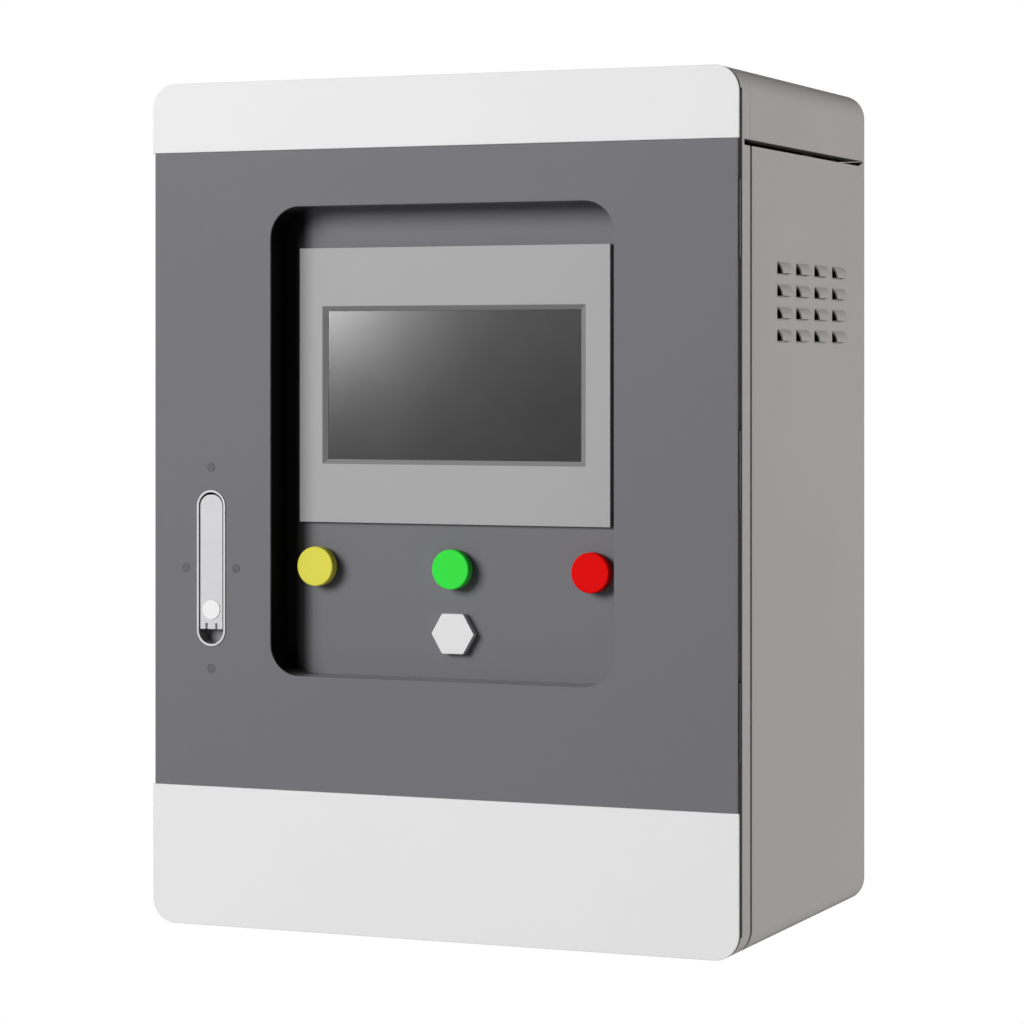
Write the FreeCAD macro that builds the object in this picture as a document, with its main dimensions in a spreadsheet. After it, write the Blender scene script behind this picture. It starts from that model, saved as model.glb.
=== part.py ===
import FreeCAD, Part
import os
import Sketcher

# Wall-hung control cabinet. Every sub-part is laid out from the door's front face (y), the base of
# the cabinet (z) and the centre line (x), then moved so that the wall face is y = 0 and half height z = 0.

doc = FreeCAD.newDocument("control_cabinet")
sheet = doc.addObject("Spreadsheet::Sheet", "Sheet")

SIZES = [
    # overall case
    ("width", 500), ("height", 676), ("depth", 322), ("outline_radius", 20),
    ("sheet_metal", 1.5), ("air_gap", 0.3), ("skin_thick", 1.8), ("trim_thick", 1.2),
    ("skin_inset", 1.6), ("trim_edge", 0.5),
    # heights of the colour bands and of the slot under the hood
    ("top_band", "=height - 55.6"), ("bottom_band", 111.5), ("shell_top", "=top_band - 4.6"),
    ("slot_taper", 14), ("slot_end_low", 0.2), ("post_size", 30), ("post_x", 195), ("post_inset", 10), ("hood_return", 12),
    # front frame
    ("frame_front", 8), ("frame_strip", 26.3), ("frame_joggle", 1.8), ("frame_spigot", 45),
    ("frame_face", 28), ("frame_lip", 20), ("frame_corner", 8), ("slot_start", 12.8), ("rain_lip", 4.9),
    ("shell_front", 30.9), ("hood_front", 26.6), ("pan_height", 5.3), ("pan_seam", 0.8),
    ("pan_upstand", 22), ("roof_level", "=height - 68"), ("panel_back", 1.5),
    # door window and instrument panel
    ("window_x", 2.2), ("window_z", "=height - 287"), ("window_wide", 293.5),
    ("window_high", 373), ("window_radius", 25), ("recess_depth", 30), ("collar_flange", 12), ("panel_margin", 26),
    # touch screen
    ("hmi_z", "=window_z + 44.5"), ("hmi_wide", 267), ("hmi_high", 219), ("hmi_proud", 4),
    ("bevel_wide", 227.3), ("bevel_high", 126.6), ("glass_wide", 217.4), ("glass_high", 118), ("bevel_deep", 2),
    ("glass_thick", 1.2), ("glass_lap", 2), ("case_wide", 250), ("case_high", 200), ("case_deep", 40),
    ("display_deep", 8), ("clamp_size", 12), ("clamp_long", 16),
    # push buttons and selector
    ("button_x", 4), ("button_pitch", 118), ("button_z", "=window_z - 100.2"), ("cap_radius", 15.75),
    ("cap_proud", 12), ("cap_deep", 8), ("cap_web", 2.5), ("cap_wall", 2), ("cap_edge", 0.8),
    ("cap_travel", 3.5), ("stem_radius", 5.94), ("guide_radius", 6), ("barrel_radius", 11),
    ("barrel_deep", 17), ("stem_reach", 19), ("nut_radius", 14.5), ("nut_thick", 4),
    ("contact_size", 28), ("contact_deep", 30), ("contact_well", 8), ("selector_z", "=button_z - 50.8"),
    ("hex_flats", 31.4), ("hex_proud", 7.2), ("hex_lift", 0.4), ("hex_recess", 2.2), ("hex_edge", 1),
    # door latch
    ("latch_x", -197.4), ("latch_z", "=height - 389.4"), ("ring_wide", 25.4), ("ring_high", 125),
    ("ring_proud", 0.8), ("cup_wall", 0.8), ("cavity_wide", 22.3), ("cavity_high", 121.9),
    ("cup_deep", 17), ("cup_floor", 1.5), ("lever_wide", 19.8), ("lever_round", 9.2), ("lever_thick", 6),
    ("lever_foot", "=latch_z - 48.9"),
    ("lever_sink", 0.8), ("pivot_deep", 4.2), ("pivot_drop", 11.2), ("pin_radius", 1.25),
    ("pin_hole", 1.3), ("release_z", "=lever_foot + 15.6"), ("release_radius", 7.75), ("release_hole", 7.82),
    ("release_proud", 0.5), ("release_deep", 4.3), ("notch_wide", 2), ("notch_high", 4.7),
    ("notch_pitch", 8.8), ("notch_deep", 3), ("bolt_high", 24), ("bolt_thick", 4), ("bolt_reach", 4),
    ("bolt_long", 52), ("bolt_slack", 0.1), ("rivet_radius", 3.2), ("rivet_hole", 3.3), ("rivet_tail", 4),
    ("rivet_x", 22.4), ("rivet_z", 80.8),
    ("plate_wide", 52), ("plate_high", 176), ("guide_block", 10),
    # hinges
    ("knuckle_radius", 2.2), ("hinge_edge", 2.3), ("hinge_deep", 5.5), ("hinge_long", 60),
    ("leaf_thick", 0.9), ("leaf_wide", 12), ("hinge_low", 150), ("hinge_pitch", 190),
    # seal
    ("seal_wide", 8), ("seal_margin", 17),
    # side louvres
    ("louvre_front", 92), ("louvre_long", 29), ("louvre_pitch_y", 47), ("louvre_low", "=height - 207.7"),
    ("louvre_pitch_z", 17.5), ("louvre_high", 9), ("louvre_proud", 4.5), ("louvre_skin", 1.2),
    # back, wall fixing and cable entry
    ("fixing_x", 212), ("fixing_z", "=height / 2 - 88"), ("fixing_radius", 4.5), ("entry_x", 90),
    ("entry_y", 200), ("entry_radius", 8), ("entry_hole", 14), ("grommet_lip", 3), ("grommet_thick", 2.5),
    # equipment behind the door
    ("plate_back", 300), ("plate_thick", 2), ("board_wide", 370), ("board_low", 70), ("board_high", 500),
    ("standoff_radius", 7), ("standoff_x", 170), ("standoff_low", 90), ("standoff_rise", 460),
    ("rail_long", 330), ("rail_upper", 470), ("rail_lower", 250), ("rail_high", 35), ("rail_deep", 7.5),
    ("rail_lip", 4), ("rail_metal", 1), ("device_gap", 0.3), ("duct_wide", 330), ("duct_high", 40),
    ("duct_deep", 60), ("duct_wall", 2), ("duct_upper", 360), ("duct_lower", 140),
    ("breaker_wide", 72), ("breaker_high", 84), ("breaker_deep", 58), ("nose_high", 45),
    ("nose_deep", 14), ("nose_slot", 36), ("toggle_wide", 15), ("toggle_reach", 19.6),
    ("breaker_start", 20), ("supply_end", 10), ("logic_start", 10), ("block_start", 20),
    ("supply_wide", 56), ("supply_high", 124), ("supply_deep", 100),
    ("logic_wide", 150), ("logic_high", 96), ("logic_deep", 72), ("block_wide", 8),
    ("block_high", 52), ("block_deep", 44), ("block_pitch", 8.3), ("earth_long", 120),
    ("earth_high", 12), ("earth_thick", 5), ("earth_z", 100), ("earth_lift", 12),
]
BLOCK_COUNT = 14
ROW_COUNT = 4

for row, (alias, value) in enumerate(SIZES, start=1):
    sheet.set(f"A{row}", alias)
    sheet.set(f"B{row}", str(value))
    sheet.setAlias(f"B{row}", alias)
doc.recompute()


class Names:
    """Gives each size its sheet address, for use in expressions."""

    def __getattr__(self, alias):
        return f"Sheet.{alias}"


S = Names()


def number(expression):
    """The present value of an expression."""
    return float(sheet.evalExpression(str(expression)))


def bind(thing, **expressions):
    """Binds properties of an object to expressions; a double underscore stands for a dot."""
    for name, expression in expressions.items():
        thing.setExpression(name.replace("__", "."), str(expression))


def place(thing, x="0", y="0", z="0"):
    """Places an object from the centre line, the door's front face and the base."""
    bind(thing, Placement__Base__x=x, Placement__Base__y=f"{y} - {S.depth}",
         Placement__Base__z=f"{z} - {S.height} / 2")


# ---------------------------------------------------------------- sketches and features


def new_body(label):
    body = doc.addObject("PartDesign::Body", label)
    body.Label = label
    place(body)
    return body


def new_sketch(body, name, x, y, z, plane="XZ_Plane"):
    """A sketch facing the front, with its own zero at x, z and set back by y."""
    sketch = body.newObject("Sketcher::SketchObject", name)
    support = [f for f in body.Origin.OriginFeatures if f.Role == plane][0]
    sketch.AttachmentSupport = (support, "")
    sketch.MapMode = "FlatFace"
    bind(sketch, AttachmentOffset__Base__x=x, AttachmentOffset__Base__y=z,
         AttachmentOffset__Base__z=f"-({y})")
    return sketch


def drive(sketch, name, constraint, expression):
    """Adds a dimension to a sketch and drives it from the sheet."""
    index = sketch.addConstraint(constraint)
    sketch.renameConstraint(index, name)
    sketch.setExpression(f"Constraints.{name}", str(expression))


def draw_rectangle(sketch, wide, high, radius=None, rounded=(True, True, True, True)):
    """A centred rectangle; rounded lists the bottom left, bottom right, top right and top left corners."""
    half_w = number(wide) / 2
    half_h = number(high) / 2
    bend = number(radius) if radius else 0
    if not bend:
        rounded = (False, False, False, False)
    corners = [(-half_w, -half_h), (half_w, -half_h), (half_w, half_h), (-half_w, half_h)]
    along = [(1, 0), (0, 1), (-1, 0), (0, -1)]
    sides = []
    for i in range(4):
        lead = bend if rounded[i] else 0
        trail = bend if rounded[(i + 1) % 4] else 0
        start = FreeCAD.Vector(corners[i][0] + along[i][0] * lead, corners[i][1] + along[i][1] * lead, 0)
        end_corner = corners[(i + 1) % 4]
        end = FreeCAD.Vector(end_corner[0] - along[i][0] * trail, end_corner[1] - along[i][1] * trail, 0)
        sides.append(sketch.addGeometry(Part.LineSegment(start, end)))
        sketch.addConstraint(Sketcher.Constraint("Vertical" if i % 2 else "Horizontal", sides[i]))
    first_arc = None
    for i in range(4):
        before = sides[i - 1]
        if not rounded[i]:
            sketch.addConstraint(Sketcher.Constraint("Coincident", before, 2, sides[i], 1))
            continue
        centre = FreeCAD.Vector(corners[i][0] + (along[i][0] - along[i - 1][0]) * bend,
                                corners[i][1] + (along[i][1] - along[i - 1][1]) * bend, 0)
        circle = Part.Circle(centre, FreeCAD.Vector(0, 0, 1), bend)
        quarter = FreeCAD.Units.parseQuantity("90 deg").getValueAs("rad").Value
        turn = (i + 2) * quarter
        arc = sketch.addGeometry(Part.ArcOfCircle(circle, turn, turn + quarter))
        sketch.addConstraint(Sketcher.Constraint("Tangent", before, 2, arc, 1))
        sketch.addConstraint(Sketcher.Constraint("Tangent", arc, 2, sides[i], 1))
        if first_arc is None:
            first_arc = arc
            drive(sketch, "bend", Sketcher.Constraint("Radius", arc, bend), radius)
        else:
            sketch.addConstraint(Sketcher.Constraint("Equal", first_arc, arc))
    drive(sketch, "wide", Sketcher.Constraint("DistanceX", sides[3], 1, sides[1], 1, 2 * half_w), wide)
    drive(sketch, "high", Sketcher.Constraint("DistanceY", sides[0], 1, sides[2], 1, 2 * half_h), high)
    drive(sketch, "left", Sketcher.Constraint("DistanceX", sides[3], 1, -1, 1, half_w), f"({wide}) / 2")
    drive(sketch, "down", Sketcher.Constraint("DistanceY", sides[0], 1, -1, 1, half_h), f"({high}) / 2")


def draw_stadium(sketch, wide, high):
    """A centred upright slot shape with round ends."""
    radius = number(wide) / 2
    rise = number(high) / 2 - radius
    quarter = FreeCAD.Units.parseQuantity("90 deg").getValueAs("rad").Value
    point = FreeCAD.Vector
    top_circle = Part.Circle(point(0, rise, 0), point(0, 0, 1), radius)
    low_circle = Part.Circle(point(0, -rise, 0), point(0, 0, 1), radius)
    top = sketch.addGeometry(Part.ArcOfCircle(top_circle, 0, 2 * quarter))
    low = sketch.addGeometry(Part.ArcOfCircle(low_circle, 2 * quarter, 4 * quarter))
    left = sketch.addGeometry(Part.LineSegment(point(-radius, rise, 0), point(-radius, -rise, 0)))
    right = sketch.addGeometry(Part.LineSegment(point(radius, -rise, 0), point(radius, rise, 0)))
    sketch.addConstraint(Sketcher.Constraint("Tangent", top, 2, left, 1))
    sketch.addConstraint(Sketcher.Constraint("Tangent", left, 2, low, 1))
    sketch.addConstraint(Sketcher.Constraint("Tangent", low, 2, right, 1))
    sketch.addConstraint(Sketcher.Constraint("Tangent", right, 2, top, 1))
    sketch.addConstraint(Sketcher.Constraint("Vertical", left))
    sketch.addConstraint(Sketcher.Constraint("PointOnObject", top, 3, -2))
    drive(sketch, "bend", Sketcher.Constraint("Radius", top, radius), f"({wide}) / 2")
    lift = f"(({high}) - ({wide})) / 2"
    drive(sketch, "above", Sketcher.Constraint("DistanceY", -1, 1, top, 3, rise), lift)
    drive(sketch, "below", Sketcher.Constraint("DistanceY", low, 3, -1, 1, rise), lift)


def draw_circle(sketch, radius):
    """A circle about the sketch's own zero."""
    ring = sketch.addGeometry(Part.Circle(FreeCAD.Vector(0, 0, 0), FreeCAD.Vector(0, 0, 1), number(radius)))
    sketch.addConstraint(Sketcher.Constraint("Coincident", ring, 3, -1, 1))
    drive(sketch, "radius", Sketcher.Constraint("Radius", ring, number(radius)), radius)


def add_pad(body, sketch, length):
    """Adds material from the sketch towards the back."""
    pad = body.newObject("PartDesign::Pad", f"{sketch.Name}_pad")
    pad.Profile = sketch
    pad.Reversed = True
    bind(pad, Length=length)
    doc.recompute()
    return pad


def add_pocket(body, sketch, length):
    """Cuts from the sketch towards the back."""
    pocket = body.newObject("PartDesign::Pocket", f"{sketch.Name}_cut")
    pocket.Profile = sketch
    bind(pocket, Length=length)
    doc.recompute()
    return pocket


def pad_rectangle(body, name, x, y, z, wide, high, length, radius=None, rounded=(True,) * 4):
    sketch = new_sketch(body, name, x, y, z)
    draw_rectangle(sketch, wide, high, radius, rounded)
    return add_pad(body, sketch, length)


def cut_rectangle(body, name, x, y, z, wide, high, length, radius=None, rounded=(True,) * 4):
    sketch = new_sketch(body, name, x, y, z)
    draw_rectangle(sketch, wide, high, radius, rounded)
    return add_pocket(body, sketch, length)


def pad_circle(body, name, x, y, z, radius, length):
    sketch = new_sketch(body, name, x, y, z)
    draw_circle(sketch, radius)
    return add_pad(body, sketch, length)


def cut_circle(body, name, x, y, z, radius, length):
    sketch = new_sketch(body, name, x, y, z)
    draw_circle(sketch, radius)
    return add_pocket(body, sketch, length)


def pad_stadium(body, name, x, y, z, wide, high, length):
    sketch = new_sketch(body, name, x, y, z)
    draw_stadium(sketch, wide, high)
    return add_pad(body, sketch, length)


def cut_stadium(body, name, x, y, z, wide, high, length):
    sketch = new_sketch(body, name, x, y, z)
    draw_stadium(sketch, wide, high)
    return add_pocket(body, sketch, length)


def round_front_edges(body, feature, depth, radius, kind="PartDesign::Fillet"):
    """Rounds or bevels every edge of a feature that lies in the plane at the given depth."""
    level = number(depth)
    edges = []
    for index, edge in enumerate(feature.Shape.Edges, start=1):
        box = edge.BoundBox
        if abs(box.YMin - level) < 1e-4 and abs(box.YMax - level) < 1e-4:
            edges.append(f"Edge{index}")
    finish = body.newObject(kind, f"{feature.Name}_edge")
    finish.Base = (feature, edges)
    if kind == "PartDesign::Fillet":
        bind(finish, Radius=radius)
    else:
        bind(finish, Size=radius)
    doc.recompute()
    return finish


# ---------------------------------------------------------------- primitives


def around(centre, size):
    """A pair of limits that spans a size about a centre."""
    return (f"{centre} - ({size}) / 2", f"{centre} + ({size}) / 2")


def box(name, x, y, z):
    """A block between pairs of x, y and z limits."""
    block = doc.addObject("Part::Box", name)
    bind(block, Length=f"({x[1]}) - ({x[0]})", Width=f"({y[1]}) - ({y[0]})", Height=f"({z[1]}) - ({z[0]})")
    place(block, f"{x[0]}", f"{y[0]}", f"{z[0]}")
    return block


def cylinder(name, axis, x, y, z, radius, length):
    """A cylinder that starts at x, y, z and runs along +X, +Y or +Z."""
    rod = doc.addObject("Part::Cylinder", name)
    bind(rod, Radius=radius, Height=length)
    turns = {"X": (FreeCAD.Vector(0, 1, 0), 90), "Y": (FreeCAD.Vector(1, 0, 0), -90),
             "Z": (FreeCAD.Vector(0, 0, 1), 0)}
    rod.Placement = FreeCAD.Placement(FreeCAD.Vector(0, 0, 0), FreeCAD.Rotation(*turns[axis]))
    place(rod, x, y, z)
    return rod


def join(name, pieces):
    fuse = doc.addObject("Part::MultiFuse", name)
    fuse.Shapes = pieces
    return fuse


def subtract(name, base, tool):
    cut = doc.addObject("Part::Cut", name)
    cut.Base = base
    cut.Tool = tool
    return cut


def group(name, pieces):
    """Identical loose pieces kept as separate solids of one sub-part."""
    bundle = doc.addObject("Part::Compound", name)
    bundle.Links = pieces
    return bundle


# ---------------------------------------------------------------- case

OUTLINE_Z = f"{S.height} / 2"
SHEET_BACK = f"({S.depth} - {S.panel_back})"


def outline(body, name, y, length, inset="0", cut=False):
    """The case's rounded outline, drawn in by an inset."""
    make = cut_rectangle if cut else pad_rectangle
    return make(body, name, "0", y, OUTLINE_Z, f"{S.width} - 2 * ({inset})", f"{S.height} - 2 * ({inset})",
                length, f"{S.outline_radius} - ({inset})")


def trough(body, name, y, length, inset, low, top, cut=False):
    """The outline's lower part, open or closed at the given top level."""
    make = cut_rectangle if cut else pad_rectangle
    return make(body, name, "0", y, f"(({low}) + ({top})) / 2", f"{S.width} - 2 * ({inset})",
                f"({top}) - ({low})", length, f"{S.outline_radius} - ({inset})", (True, True, False, False))


def make_front_frame():
    """Deep ring round the door, with rain lips at top and bottom and a lip round the opening."""
    body = new_body("front_frame")
    inner = f"{S.frame_joggle} + {S.sheet_metal}"
    lip_deep = f"{S.frame_front} - {S.rain_lip}"
    outline(body, "frame_strip_outline", S.rain_lip, f"{S.frame_strip} - {S.rain_lip}")
    outline(body, "frame_face_step", S.rain_lip, lip_deep, S.frame_joggle, cut=True)
    cut_rectangle(body, "frame_side_gap", "0", S.rain_lip, OUTLINE_Z, f"2 * {S.width}",
                  f"{S.height} - 2 * {S.outline_radius} + {S.rain_lip}", lip_deep)
    outline(body, "frame_joggle_outline", S.frame_front, f"{S.frame_spigot} - {S.frame_front}",
            S.frame_joggle)
    outline(body, "frame_hollow", f"{S.frame_front} + {S.sheet_metal}", S.frame_spigot, inner, cut=True)
    opening_w = f"{S.width} - 2 * {S.frame_face}"
    opening_h = f"{S.height} - 2 * {S.frame_face}"
    lip = f"{S.frame_lip} - {S.frame_front}"
    pad_rectangle(body, "frame_lip_outer", "0", S.frame_front, OUTLINE_Z,
                  f"{opening_w} + 2 * {S.sheet_metal}", f"{opening_h} + 2 * {S.sheet_metal}", lip,
                  f"{S.frame_corner} + {S.sheet_metal}")
    cut_rectangle(body, "frame_opening", "0", S.frame_front, OUTLINE_Z, opening_w, opening_h,
                  S.frame_spigot, S.frame_corner)
    slot_high = f"{S.top_band} - {S.shell_top}"
    slot_z = f"({S.top_band} + {S.shell_top}) / 2"
    slot_wide = f"2 * ({inner} + {S.air_gap})"
    for side, name in (("-1", "slot_left"), ("1", "slot_right")):
        cut_rectangle(body, name, f"{side} * {S.width} / 2", S.slot_start, slot_z, slot_wide, slot_high,
                      S.frame_spigot)
    return body


def make_body_shell():
    """Two sides and floor edge in one sheet, with pressed louvres, and tapered ends to the vent slot."""
    body = new_body("shell_sheet")
    length = f"{SHEET_BACK} - {S.shell_front}"
    trough(body, "shell_outer", S.shell_front, length, "0", "0", S.shell_top)
    trough(body, "shell_inner", S.shell_front, length, S.sheet_metal, S.sheet_metal,
           f"{S.shell_top} + {S.sheet_metal}", cut=True)
    floor_top = f"{S.pan_height} + {S.pan_seam}"
    cut_rectangle(body, "shell_floor_cut", "0", S.shell_front, f"({floor_top}) / 2", S.width, floor_top,
                  length)
    add_louvres(body)
    return join("body_shell", [body, make_slot_end("left", "-1"), make_slot_end("right", "1")])


def make_slot_end(side, sign):
    """Ramp on the side's top edge that closes the vent slot at the back."""
    end = doc.addObject("Part::Wedge", f"slot_end_{side}")
    rise = f"{S.top_band} - {S.shell_top} - {S.air_gap}"
    wall = S.sheet_metal
    bind(end, Xmin="0", Xmax=wall, Ymin="0", Ymax=S.slot_taper, Zmin="0", Zmax=S.slot_end_low,
         X2min="0", X2max=wall, Z2min="0", Z2max=rise)
    edge = f"({sign} * ({S.width} - {wall}) / 2 - {wall} / 2)"
    place(end, edge, f"{SHEET_BACK} - {S.slot_taper}", S.shell_top)
    return end


def louvre_sketch(body, name, y, inset):
    """Half-dome section of one louvre, drawn on the right-hand side."""
    sketch = new_sketch(body, name, f"{S.width} / 2", y, S.louvre_low)
    high = number(S.louvre_high)
    proud = number(S.louvre_proud)
    gap = number(inset)
    dome = (proud * proud + high * high) / (2 * proud)
    factor = 2 if gap else 0.5
    root = -number(S.sheet_metal) * factor
    reach = dome - gap
    centre = FreeCAD.Vector(proud - dome, 0, 0)
    top_z = (reach * reach - (root - centre.x) ** 2) ** 0.5
    circle = Part.Circle(centre, FreeCAD.Vector(0, 0, 1), reach)
    end_turn = circle.parameter(FreeCAD.Vector(root, top_z, 0))
    arc = sketch.addGeometry(Part.ArcOfCircle(circle, 0, end_turn))
    corner = FreeCAD.Vector(root, 0, 0)
    back = sketch.addGeometry(Part.LineSegment(FreeCAD.Vector(root, top_z, 0), corner))
    foot = sketch.addGeometry(Part.LineSegment(corner, FreeCAD.Vector(proud - gap, 0, 0)))
    sketch.addConstraint(Sketcher.Constraint("Coincident", arc, 2, back, 1))
    sketch.addConstraint(Sketcher.Constraint("Coincident", back, 2, foot, 1))
    sketch.addConstraint(Sketcher.Constraint("Coincident", foot, 2, arc, 1))
    sketch.addConstraint(Sketcher.Constraint("Vertical", back))
    sketch.addConstraint(Sketcher.Constraint("Horizontal", foot))
    sketch.addConstraint(Sketcher.Constraint("PointOnObject", foot, 1, -1))
    sketch.addConstraint(Sketcher.Constraint("PointOnObject", arc, 3, -1))
    dome_rule = f"({S.louvre_proud} ^ 2 + {S.louvre_high} ^ 2) / (2 * {S.louvre_proud})"
    drive(sketch, "dome", Sketcher.Constraint("Radius", arc, reach), f"{dome_rule} - ({inset})")
    drive(sketch, "reach", Sketcher.Constraint("DistanceX", -1, 1, foot, 2, proud - gap),
          f"{S.louvre_proud} - ({inset})")
    drive(sketch, "root", Sketcher.Constraint("DistanceX", back, 2, -1, 1, -root),
          f"{factor} * {S.sheet_metal}")
    return sketch


def repeat_louvre(body, feature, sketch):
    """Repeats a louvre feature in rows and columns and on the other side."""
    rows = doc.addObject("PartDesign::LinearPattern", f"{feature.Name}_rows")
    rows.Direction = (sketch, ["V_Axis"])
    rows.Occurrences = ROW_COUNT
    bind(rows, Length=f"{S.louvre_pitch_z} * {ROW_COUNT - 1}")
    columns = doc.addObject("PartDesign::LinearPattern", f"{feature.Name}_columns")
    columns.Direction = (sketch, ["N_Axis"])
    columns.Reversed = True
    columns.Occurrences = ROW_COUNT
    bind(columns, Length=f"{S.louvre_pitch_y} * {ROW_COUNT - 1}")
    other = doc.addObject("PartDesign::Mirrored", f"{feature.Name}_other_side")
    other.MirrorPlane = ([f for f in body.Origin.OriginFeatures if f.Role == "YZ_Plane"][0], [""])
    pattern = body.newObject("PartDesign::MultiTransform", f"{feature.Name}_pattern")
    pattern.Originals = [feature]
    pattern.Transformations = [rows, columns, other]
    body.Tip = pattern
    doc.recompute()
    return pattern


def add_louvres(body):
    outer = louvre_sketch(body, "louvre_dome", S.louvre_front, "0")
    dome = add_pad(body, outer, S.louvre_long)
    repeat_louvre(body, dome, outer)
    inner = louvre_sketch(body, "louvre_throat", S.louvre_front, S.louvre_skin)
    throat = add_pocket(body, inner, f"{S.louvre_long} - {S.louvre_skin}")
    return repeat_louvre(body, throat, inner)


def make_base_pan():
    """Floor of the case, with a rolled edge and an upstand inside the shell; two cable holes."""
    body = new_body("base_pan")
    length = f"{SHEET_BACK} - {S.shell_front}"
    tall = f"{S.frame_joggle}"
    deep = f"{S.frame_joggle} + {S.sheet_metal}"
    trough(body, "pan_edge", S.shell_front, length, "0", "0", f"2 * {S.outline_radius}")
    cut_rectangle(body, "pan_trim", "0", S.shell_front, f"{S.pan_height} + {S.outline_radius}",
                  f"2 * {S.width}", f"2 * {S.outline_radius}", length)
    rear = f"{SHEET_BACK} - {S.frame_spigot} - {S.air_gap}"
    start = f"{S.frame_spigot} + {S.air_gap}"
    trough(body, "pan_upstand", start, rear, tall, tall, S.pan_upstand)
    trough(body, "pan_hollow", start, rear, deep, deep, f"2 * {S.pan_upstand}", cut=True)
    clear = f"{S.frame_joggle} - {S.air_gap}"
    trough(body, "pan_front_clear", S.shell_front, f"{start} - {S.shell_front}", clear, clear,
           f"2 * {S.pan_upstand}", cut=True)
    side = f"{S.entry_x}"
    for sign, name in (("-1", "entry_left"), ("1", "entry_right")):
        add_floor_hole(body, name, f"{sign} * {side}")
    return body


def add_floor_hole(body, name, x):
    sketch = body.newObject("Sketcher::SketchObject", name)
    support = [f for f in body.Origin.OriginFeatures if f.Role == "XY_Plane"][0]
    sketch.AttachmentSupport = (support, "")
    sketch.MapMode = "FlatFace"
    bind(sketch, AttachmentOffset__Base__x=x, AttachmentOffset__Base__y=S.entry_y)
    draw_circle(sketch, S.entry_hole)
    pocket = body.newObject("PartDesign::Pocket", f"{name}_cut")
    pocket.Profile = sketch
    pocket.Reversed = True
    bind(pocket, Length=S.pan_upstand)
    doc.recompute()


def make_rear_panel():
    """Flat back with four holes for the wall screws."""
    body = new_body("rear_panel")
    trough(body, "rear_outline", SHEET_BACK, S.panel_back, "0", "0", f"{S.top_band} - {S.air_gap}")
    for x_sign, side in (("-1", "left"), ("1", "right")):
        for z_sign, level in (("-1", "low"), ("1", "high")):
            cut_circle(body, f"fixing_{side}_{level}", f"{x_sign} * {S.fixing_x}", SHEET_BACK,
                       f"{OUTLINE_Z} + {z_sign} * {S.fixing_z}", S.fixing_radius, S.panel_back)
    return body


def make_top_hood():
    """Loose rain hood with side skirts turned in at the foot, standing clear of the sides by the slot."""
    body = new_body("top_hood")
    length = f"{S.depth} - {S.hood_front}"
    crown = f"({S.top_band} + {S.height}) / 2"
    rise = f"{S.height} - {S.top_band}"
    top_only = (False, False, True, True)
    pad_rectangle(body, "hood_outer", "0", S.hood_front, crown, S.width, rise, length,
                  S.outline_radius, top_only)
    wall = S.sheet_metal
    clear = f"{S.frame_spigot} + {S.air_gap} - {S.hood_front}"
    inner_wide = f"{S.width} - 2 * {wall}"
    inner_bend = f"{S.outline_radius} - {wall}"
    cut_rectangle(body, "hood_mouth", "0", S.hood_front, f"{crown} - {wall}", inner_wide, rise, clear,
                  inner_bend, top_only)
    cut_rectangle(body, "hood_inner", "0", S.hood_front, crown, inner_wide, f"{rise} - 2 * {wall}",
                  f"{length} - {wall}", inner_bend, top_only)
    cut_rectangle(body, "hood_floor", "0", S.hood_front, S.top_band, f"{S.width} - 2 * {S.hood_return}",
                  f"4 * {wall}", f"{length} - {wall}")
    return body


def make_roof_panel():
    """Inner roof that closes the case below the hood, with end posts that carry the hood."""
    half = f"{S.width} / 2 - {S.sheet_metal}"
    start = f"{S.frame_spigot} + {S.air_gap}"
    roof = box("roof_sheet", (f"-({half})", half), (start, SHEET_BACK),
               (S.roof_level, f"{S.roof_level} + {S.sheet_metal}"))
    posts = []
    for sign, side in (("-1", "left"), ("1", "right")):
        rear = f"{SHEET_BACK} - {S.post_inset} - {S.post_size}"
        for front, where in ((f"{start} + {S.post_inset}", "front"), (rear, "rear")):
            posts.append(box(f"roof_post_{side}_{where}", around(f"{sign} * {S.post_x}", S.post_size),
                             (front, f"{front} + {S.post_size}"),
                             (f"{S.roof_level} + {S.sheet_metal}", f"{S.height} - {S.sheet_metal}")))
    return join("roof_panel", [roof] + posts)


# ---------------------------------------------------------------- door

SKIN_BACK = f"({S.trim_thick} + {S.skin_thick})"
PANEL_FRONT = f"({S.trim_thick} + {S.recess_depth})"
PANEL_REAR = f"({PANEL_FRONT} + {S.sheet_metal})"
LEVER_FRONT = f"({S.trim_thick} + {S.lever_sink} - {S.ring_proud})"


def make_door_skin():
    """Flat door sheet with the window, the latch hole and four rivet holes."""
    body = new_body("door_skin")
    outline(body, "skin_outline", S.trim_thick, S.skin_thick, S.skin_inset)
    cut_rectangle(body, "skin_window", S.window_x, S.trim_thick, S.window_z, S.window_wide, S.window_high,
                  S.skin_thick, S.window_radius)
    cut_stadium(body, "skin_latch_hole", S.latch_x, S.trim_thick, S.latch_z,
                f"{S.cavity_wide} + 2 * {S.cup_wall} + 2 * {S.air_gap}",
                f"{S.cavity_high} + 2 * {S.cup_wall} + 2 * {S.air_gap}", S.skin_thick)
    for index, (x, z) in enumerate(rivet_places(), start=1):
        cut_circle(body, f"skin_rivet_hole_{index}", x, S.trim_thick, z, S.rivet_hole, S.skin_thick)
    return body


def rivet_places():
    """Above, below, left and right of the latch."""
    return [(S.latch_x, f"{S.latch_z} + {S.rivet_z}"), (S.latch_x, f"{S.latch_z} - {S.rivet_z}"),
            (f"{S.latch_x} - {S.rivet_x}", S.latch_z), (f"{S.latch_x} + {S.rivet_x}", S.latch_z)]


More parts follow.
